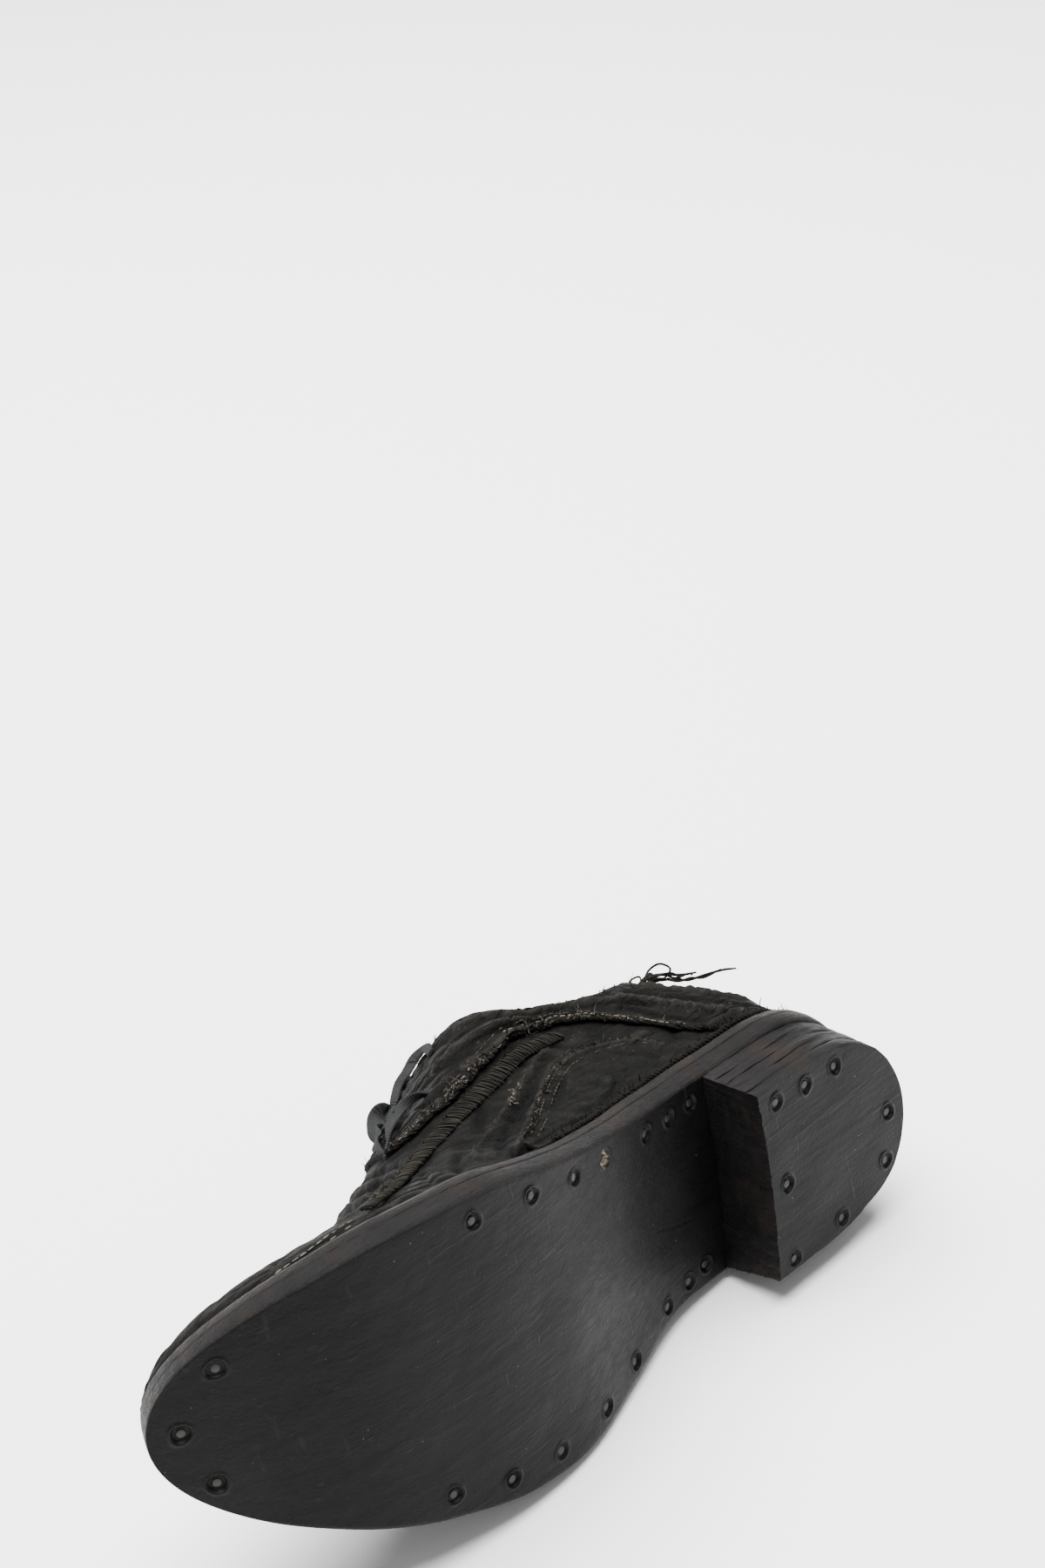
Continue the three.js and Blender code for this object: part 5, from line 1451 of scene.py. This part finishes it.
class SHOE_OT_lace(bpy.types.Operator):
    """Flat woven lace through the eyelets, slack over the throat"""

    bl_idname = "shoe.lace"
    bl_label = "Lace"

    def execute(self, context):
        sizes, colours = context.scene.shoe_sizes, context.scene.shoe_colours
        runs = []
        for k, (row_a, side_a, row_b, side_b, slack) in enumerate(LACE_RUNS):
            ua, va = eyelet(row_a, side_a)
            ub, vb = eyelet(row_b, side_b)
            s = np.concatenate([np.full(5, 0.0), np.linspace(0, 1, 45), np.full(5, 1.0)])
            uu, vv = ua + (ub - ua) * s, va + (vb - va) * s
            ends = np.concatenate([np.linspace(-3.2, 0, 5, endpoint=False), np.zeros(45), np.linspace(0, -3.2, 6)[1:]])
            over = QUARTER_LIFT + 0.75 + (0.25 if k > 3 else 0)
            arch = over + slack * np.sin(math.pi * s) ** 0.8
            lift = np.where(ends < 0, ends + over * 0.4, arch)
            path = form(uu, vv) + form_normal(uu, vv) * lift[:, None]
            for _ in range(3):
                path[1:-1] = (path[:-2] + 2 * path[1:-1] + path[2:]) / 4
            narrow = np.minimum(1, 0.55 + 0.45 * np.sin(math.pi * s) / 0.35)
            width = sizes.lace_width * np.where(ends < 0, 0.55, narrow)
            normal = form_normal(uu, vv)
            normal = unit(normal + 0.25 * np.sin(2 * math.pi * s + k)[:, None] * unit(np.gradient(path, axis=0)))
            twist = 0.35 * np.sin(math.pi * s) * (1 if k % 2 else -1) * (1.6 if k > 3 else 0.6)
            side = unit(np.cross(np.gradient(path, axis=0), normal))
            normal = unit(normal * np.cos(twist)[:, None] + side * np.sin(twist)[:, None])
            runs.append(ribbon(path, normal, width, sizes.lace_thickness))
        for points, facing, width, twist in LACE_SLACKS:
            path = along_path(points, 60)
            s = np.linspace(-1, 1, 60)
            normal = np.tile(unit(np.array(facing, float)), (60, 1))
            side = unit(np.cross(np.gradient(path, axis=0), normal))
            normal = unit(normal * np.cos(twist * s)[:, None] + side * np.sin(twist * s)[:, None])
            runs.append(ribbon(path, normal, width * (1 - 0.25 * np.abs(s) ** 3), sizes.lace_thickness))
        lace = bands("lace_strands", runs)
        finish_piece(lace, [woven("woven_lace", colours.lace, 0.9)],
                     [f"lace_bar_{k + 1}" for k in range(EYELET_COUNT)], 50)
        rims = []
        for row in range(EYELET_COUNT):
            for side in (1, -1):
                u, v = eyelet(row, side)
                centre, normal = form(u, v) + form_normal(u, v) * (QUARTER_LIFT + 0.1), form_normal(u, v)
                first = unit(np.cross(normal, [1.0, 0.2, 0.1]))
                second = np.cross(normal, first)
                turn = np.linspace(0, 2 * math.pi, 25)
                ring = centre + EYELET_DIAMETER * 0.56 * (np.cos(turn)[:, None] * first + np.sin(turn)[:, None] * second)
                rims.append(tube(ring, 0.32, 6))
        rims = bands("eyelet_edges", rims)
        finish_piece(rims, [thread("eyelet_thread", tone(colours.dark_thread, 1.5))], (), 70)
        return {"FINISHED"}


# ---------------------------------------------------------------- seams, cord and frayed fibres
def stitch_row(u, w, side, lift, length, radius, chance, skip=0.0):
    """Beads of thread along a line on one side."""
    path = form(u, v_of(side, w)) + form_normal(u, v_of(side, w)) * lift
    walked = np.concatenate([[0], np.cumsum(np.linalg.norm(np.diff(path, axis=0), axis=1))])
    runs = []
    for start in np.arange(0.6, walked[-1] - length, length * 1.28):
        if chance.random() < skip:
            continue
        s = start + length * np.linspace(0, 1, 5)
        bead = np.stack([np.interp(s, walked, path[:, k]) for k in range(3)], axis=1)
        bead += np.array([chance.uniform(-0.12, 0.12) for _ in range(3)])
        runs.append(tube(bead, radius * chance.uniform(0.8, 1.15), 6, 0.6))
    return runs


class SHOE_OT_stitches(bpy.types.Operator):
    """Rows of seam stitches on the quarters, the patch and the welt"""

    bl_idname = "shoe.stitches"
    bl_label = "Seam stitches"

    def execute(self, context):
        sizes, colours = context.scene.shoe_sizes, context.scene.shoe_colours
        chance = random.Random(SEED + 2)
        pale, dull = [], []
        for side in (1, -1):
            u = u_of_x(np.linspace(0.165, 0.53, 260) * SOLE_LENGTH)
            low, _ = quarter_lines(side, u)
            for k, inside in enumerate((2.6, 4.6)):
                seam_z = form(u, v_of(side, low))[..., 2] + inside
                w = w_at_height(side, u, seam_z)
                rows = stitch_row(u, w, side, QUARTER_LIFT + 0.3, sizes.stitch, 0.27, chance, 0.12 + 0.1 * k)
                (pale if k == 0 else dull).extend(rows)
            x = np.linspace(0.2, 0.96, 400) * SOLE_LENGTH
            u = u_of_x(x)
            dull.extend(stitch_row(u, np.full(len(u), 0.035), side, 0.35, 2.6, 0.3, chance, 0.1))
        at = np.linspace(0.212, 0.48, 160)
        u = u_of_x(at * SOLE_LENGTH)
        for k, inside in enumerate((2.2, 5.5)):
            w = w_at_height(1, u, curve(PATCH["at"], PATCH["rise"], at) * INSTEP_HEIGHT - inside)
            dull.extend(stitch_row(u, w, 1, OVERLAY_GAP + PATCH_THICKNESS + 0.35, 1.9, 0.24, chance, 0.25))
        at = np.linspace(0.74, 0.88, 90)
        u = u_of_x(at * SOLE_LENGTH)
        for rise in (0.175, 0.2):
            w = w_at_height(1, u, (rise + 0.35 * np.maximum(at - 0.8, 0)) * INSTEP_HEIGHT)
            pale.extend(stitch_row(u, w, 1, 0.75, 2.4, 0.26, chance, 0.15))
        finish_piece(bands("seam_stitches_pale", pale), [thread("pale_thread", tone(colours.pale_thread, 0.75))], (), 70)
        finish_piece(
            bands("seam_stitches_dull", dull), [thread("dull_thread", tone(colours.pale_thread, 0.22))], (), 70
        )
        return {"FINISHED"}


def raw_edge(u, w, side, lift, size):
    """Uneven twisted strands of torn leather along an edge."""
    v = v_of(side, w)
    base, normal = form(u, v), form_normal(u, v)
    path = base + normal * lift
    walked = np.concatenate([[0], np.cumsum(np.linalg.norm(np.diff(path, axis=0), axis=1))])
    other = np.cross(unit(np.gradient(path, axis=0)), normal)
    uneven = np.clip(1 + 0.45 * ripple(base, 5, SEED + 31), 0.35, 1.7)
    runs = []
    for strand in range(3):
        turn = walked * 2 * math.pi / 7 + strand * 2.1 + 1.3 * ripple(base, 12, SEED + 32 + strand)
        swing = size * 0.6 * uneven
        place = path + normal * (np.cos(turn) * swing)[:, None] + other * (np.sin(turn) * swing)[:, None]
        rings = tube(place, size * 0.55, 6, 0.3)
        middle = rings.mean(1, keepdims=True)
        runs.append(middle + (rings - middle) * uneven[:, None, None])
    return runs


class SHOE_OT_cord_edge(bpy.types.Operator):
    """Frayed twisted edging between the upper and the sole"""

    bl_idname = "shoe.cord_edge"
    bl_label = "Twisted edging"

    def execute(self, context):
        colours = context.scene.shoe_colours
        runs = []
        for side in (1, -1):
            u = u_of_x(np.linspace(0.16, 0.535, 480) * SOLE_LENGTH)
            low, high = quarter_lines(side, u)
            for w, lift, size in ((low, QUARTER_LIFT - 0.4, 0.62), (high, QUARTER_LIFT - 0.7, 0.5)):
                runs += raw_edge(u, w, side, lift, size)
        for side, start, end, size in ((1, 0.02, 0.475, 1.05), (-1, 0.02, 0.3, 0.6), (1, 0.475, 0.9, 0.4), (-1, 0.3, 0.9, 0.4)):
            u = u_of_x(np.linspace(start, end, int(1250 * (end - start))) * SOLE_LENGTH)
            v = v_of(side, np.full(len(u), 0.02))
            normal = form_normal(u, v)
            path = form(u, v) + normal * (1.4 + size * 0.6)
            path[:, 2] = np.maximum(path[:, 2], feather(path[:, 0]) + size * 0.7)
            walked = np.concatenate([[0], np.cumsum(np.linalg.norm(np.diff(path, axis=0), axis=1))])
            tangent = unit(np.gradient(path, axis=0))
            other = np.cross(tangent, normal)
            uneven = 1 + 0.25 * ripple(path, 6, SEED + 21)
            for strand in range(3):
                turn = walked * 2 * math.pi / 5.5 + strand * 2 * math.pi / 3
                swing = size * 0.62 * uneven
                place = path + normal * (np.cos(turn) * swing)[:, None] + other * (np.sin(turn) * swing)[:, None]
                runs.append(tube(place, size * 0.6, 6, 0.3))
        finish_piece(bands("twisted_edging", runs), [thread("edging_thread", tone(colours.dark_thread, 0.6))], (), 70)
        return {"FINISHED"}


def fibres(u, v, lift, count, longest, lean, chance, radius=0.17):
    """Curled fibres that leave an edge; lean pushes them along the section."""
    runs = []
    base, normal = form(u, v), form_normal(u, v)
    along = unit(np.gradient(base, axis=0))
    outward = np.cross(along, normal) * lean
    for _ in range(count):
        k = chance.randrange(len(u))
        length = longest * chance.uniform(0.25, 1.0) ** 1.5
        way = unit(outward[k] * chance.uniform(0.4, 1.0) + normal[k] * chance.uniform(0.15, 0.9)
                   + along[k] * chance.uniform(-0.9, 0.9))
        bend = np.array([chance.uniform(-1, 1) for _ in range(3)])
        s = np.linspace(0, 1, 7)[:, None]
        path = base[k] + normal[k] * lift + way * s * length * 0.55 + bend * length * 0.8 * s**2
        path += 0.5 * np.sin(s * chance.uniform(4, 10)) * np.array([chance.uniform(-1, 1) for _ in range(3)])
        runs.append(tube(path, radius * chance.uniform(0.6, 1.2), 4, 0.7))
    return runs


# Loose threads: points in the standing shoe's frame, with the radius of the thread
LOOSE_THREADS = [
    ([(36, 35, 85), (30, 36.5, 88.5), (26, 38, 88), (29, 36.8, 86)], 0.9),
    ([(30, 36, 88), (25, 38.5, 90), (20, 39.5, 89), (19, 38, 85), (24, 36.5, 84), (30, 36, 87)], 0.42),
    ([(31, 36, 88), (27, 37, 84), (22, 36.5, 79), (20.5, 36.5, 75), (19, 39, 69), (16.5, 41.5, 62), (15, 42.5, 57)], 0.45),
    ([(31, 36.6, 87.5), (26.6, 37.8, 83.5), (22.4, 36.0, 78.6), (20, 37.2, 74.6), (19.4, 38.4, 68.6), (17, 41.9, 62.4)], 0.4),
    ([(33, 35.5, 87), (28, 38, 85), (23, 39, 81), (22, 37, 77)], 0.35),
    ([(28, 36.5, 89), (24, 35.5, 85), (23, 36.5, 82), (26, 38.5, 80)], 0.3),
    ([(40, 34, 86), (34, 36, 88), (28, 37.5, 88.5), (23, 37.6, 85), (20.5, 37.6, 79), (18.5, 39, 73)], 0.5),
    ([(38, 35, 85), (31, 38, 86.5), (25, 38.6, 83), (22, 36.8, 80), (20, 38.6, 75.5), (21.5, 39.5, 72)], 0.4),
    ([(33, 37, 86), (30, 38.5, 89.5), (33, 38, 91), (35, 36, 88.5)], 0.35),
    ([(106, 33, 117), (108.5, 32, 122), (108.4, 31.2, 126), (107, 33.5, 124.5), (106.5, 35.8, 122), (105, 34, 119.7)], 0.2),
    ([(107, 33, 119), (110, 33, 123), (111, 31.5, 125.5), (109.5, 30.5, 123.5)], 0.15),
    ([(24, 33, 40), (20, 35, 43), (16.5, 34.5, 45.5)], 0.18),
]


class SHOE_OT_fibres(bpy.types.Operator):
    """Frayed fibres along the raw edges, and the loose threads"""

    bl_idname = "shoe.fibres"
    bl_label = "Frayed fibres"

    def execute(self, context):
        sizes, colours = context.scene.shoe_sizes, context.scene.shoe_colours
        chance = random.Random(SEED + 3)
        runs = []
        for side in (1, -1):
            u = u_of_x(np.linspace(0.02, 0.535, 300) * SOLE_LENGTH)
            low, high = quarter_lines(side, u)
            many = 1.0 if side > 0 else 0.6
            runs += fibres(u, v_of(side, low), QUARTER_LIFT, int(430 * many), sizes.fray * 0.85, side, chance, 0.2)
            runs += fibres(u, v_of(side, high), QUARTER_LIFT, int(70 * many), sizes.fray * 0.8, -side, chance, 0.17)
            u = u_of_x(np.linspace(0.02, 0.48, 200) * SOLE_LENGTH)
            runs += fibres(u, v_of(side, np.full(200, 0.03)), 2.0, int(520 * many), sizes.fray * 0.7, -side * 0.5, chance, 0.2)
            u = u_of_x(np.linspace(0.48, 0.96, 200) * SOLE_LENGTH)
            runs += fibres(u, v_of(side, np.full(200, 0.03)), 0.6, int(90 * many), sizes.fray * 0.4, -side * 0.5, chance, 0.1)
        at = np.linspace(0.21, 0.49, 160)
        u = u_of_x(at * SOLE_LENGTH)
        w = w_at_height(1, u, curve(PATCH["at"], PATCH["rise"], at) * INSTEP_HEIGHT)
        runs += fibres(u, v_of(1, w), OVERLAY_GAP + PATCH_THICKNESS, 240, sizes.fray * 0.7, -1, chance, 0.15)
        at = np.linspace(0.28, 0.7, 160)
        u, w = band_line(at)
        runs += fibres(u, v_of(1, w + 0.03), QUARTER_LIFT, 90, sizes.fray * 0.5, -1, chance)
        pale = []
        for side, count in ((1, 150), (-1, 60)):
            u = u_of_x(np.linspace(0.17, 0.53, 300) * SOLE_LENGTH)
            low, _ = quarter_lines(side, u)
            pale += fibres(u, v_of(side, low), QUARTER_LIFT + 0.3, count, sizes.fray * 0.8, side, chance, 0.15)
        u = u_of_x(np.linspace(0.21, 0.49, 160) * SOLE_LENGTH)
        w = w_at_height(1, u, curve(PATCH["at"], PATCH["rise"], np.linspace(0.21, 0.49, 160)) * INSTEP_HEIGHT)
        pale += fibres(u, v_of(1, w), OVERLAY_GAP + PATCH_THICKNESS + 0.3, 70, sizes.fray * 0.6, -1, chance, 0.14)
        u, v = spot(1, np.linspace(0.385, 0.425, 40), np.linspace(0.53, 0.47, 40))
        pale += fibres(u, v, 0.9, 26, 3.0, 0.2, chance, 0.3)
        finish_piece(
            bands("pale_fibres", pale), [thread("pale_fibre", tone(colours.pale_thread, 0.45))], (), 70
        )
        for path, radius in LOOSE_THREADS:
            runs.append(tube(along_path(path, 12 * len(path)), radius, 6, 0.4))
        finish_piece(bands("frayed_fibres", runs), [thread("frayed_thread", colours.dark_thread)], (), 70)
        return {"FINISHED"}


# ---------------------------------------------------------------- stage
class SHOE_OT_stage(bpy.types.Operator):
    """Pale floor, soft light and the photograph's camera"""

    bl_idname = "shoe.stage"
    bl_label = "Stage"

    def execute(self, context):
        colours = context.scene.shoe_colours
        scene = context.scene
        bpy.ops.object.select_all(action="DESELECT")
        bpy.ops.mesh.primitive_plane_add(size=24, location=(0, 0, 0))
        floor = bpy.context.object
        floor.name = "studio_floor"
        p = Paint("pale_floor", 0.85)
        shade = p.ramp(p.noise(3, 2), (0.3, tone(colours.floor, 0.995)), (0.7, colours.floor))
        floor.data.materials.append(p.done(shade, 0.85, Specular_IOR_Level=0.1))

        world = bpy.data.worlds.new("studio_light")
        scene.world = world
        world.use_nodes = True
        world.node_tree.nodes["Background"].inputs["Color"].default_value = (1, 1, 1, 1)
        world.node_tree.nodes["Background"].inputs["Strength"].default_value = 0.5
        for name, place, size, power, aim in (
            ("overhead_light", (-0.1, -0.5, 2.2), 2.8, 318, (0, 0, 0)),
            ("sole_light", (0.9, 1.7, 1.1), 1.2, 2.5, (0, 0.05, 0.05)),
        ):
            data = bpy.data.lights.new(name, "AREA")
            data.shape = "DISK"
            data.size = size
            data.energy = power
            light = bpy.data.objects.new(name, data)
            scene.collection.objects.link(light)
            light.location = place
            light.rotation_euler = (Vector(aim) - Vector(place)).to_track_quat("-Z", "Y").to_euler()

        data = bpy.data.cameras.new("photo_camera")
        data.lens = LENS_MM
        data.sensor_width = SENSOR_MM
        data.clip_start, data.clip_end = 0.05, 50
        camera = bpy.data.objects.new("photo_camera", data)
        scene.collection.objects.link(camera)
        right, up = Vector(TURN @ np.array(EYE_RIGHT)), Vector(TURN @ -np.array(EYE_DOWN))
        back = right.cross(up).normalized()
        up = back.cross(right).normalized()
        turn = Matrix((right.normalized(), up, back)).transposed().to_4x4()
        camera.matrix_world = Matrix.Translation(Vector(standing_to_floor(np.array(EYE)))) @ turn
        scene.camera = camera
        return {"FINISHED"}


class SHOE_PT_panel(bpy.types.Panel):
    """The shoe's pieces, sizes and colours"""

    bl_idname = "SHOE_PT_panel"
    bl_label = "Worn derby shoe"
    bl_space_type = "VIEW_3D"
    bl_region_type = "UI"
    bl_category = "Shoe"

    def draw(self, context):
        column = self.layout.column(align=True)
        for operator in OPERATORS:
            column.operator(operator.bl_idname)
        for group in (context.scene.shoe_sizes, context.scene.shoe_colours):
            for name in group.__annotations__:
                self.layout.prop(group, name)


OPERATORS = (
    SHOE_OT_sole, SHOE_OT_heel, SHOE_OT_nails, SHOE_OT_vamp, SHOE_OT_quarters, SHOE_OT_band, SHOE_OT_patch,
    SHOE_OT_tongue, SHOE_OT_insole, SHOE_OT_lace, SHOE_OT_stitches, SHOE_OT_cord_edge, SHOE_OT_fibres, SHOE_OT_stage,
)
CLASSES = (ShoeSizes, ShoeColours, *OPERATORS, SHOE_PT_panel)


def register():
    for cls in CLASSES:
        bpy.utils.register_class(cls)
    bpy.types.Scene.shoe_sizes = bpy.props.PointerProperty(type=ShoeSizes)
    bpy.types.Scene.shoe_colours = bpy.props.PointerProperty(type=ShoeColours)


def unregister():
    del bpy.types.Scene.shoe_sizes
    del bpy.types.Scene.shoe_colours
    for cls in reversed(CLASSES):
        bpy.utils.unregister_class(cls)


def main():
    register()
    for step in (
        bpy.ops.shoe.sole, bpy.ops.shoe.heel, bpy.ops.shoe.nails, bpy.ops.shoe.vamp, bpy.ops.shoe.quarters,
        bpy.ops.shoe.band, bpy.ops.shoe.patch, bpy.ops.shoe.tongue, bpy.ops.shoe.insole, bpy.ops.shoe.lace,
        bpy.ops.shoe.stitches, bpy.ops.shoe.cord_edge, bpy.ops.shoe.fibres, bpy.ops.shoe.stage,
    ):
        step()


if __name__ == "__main__":
    main()
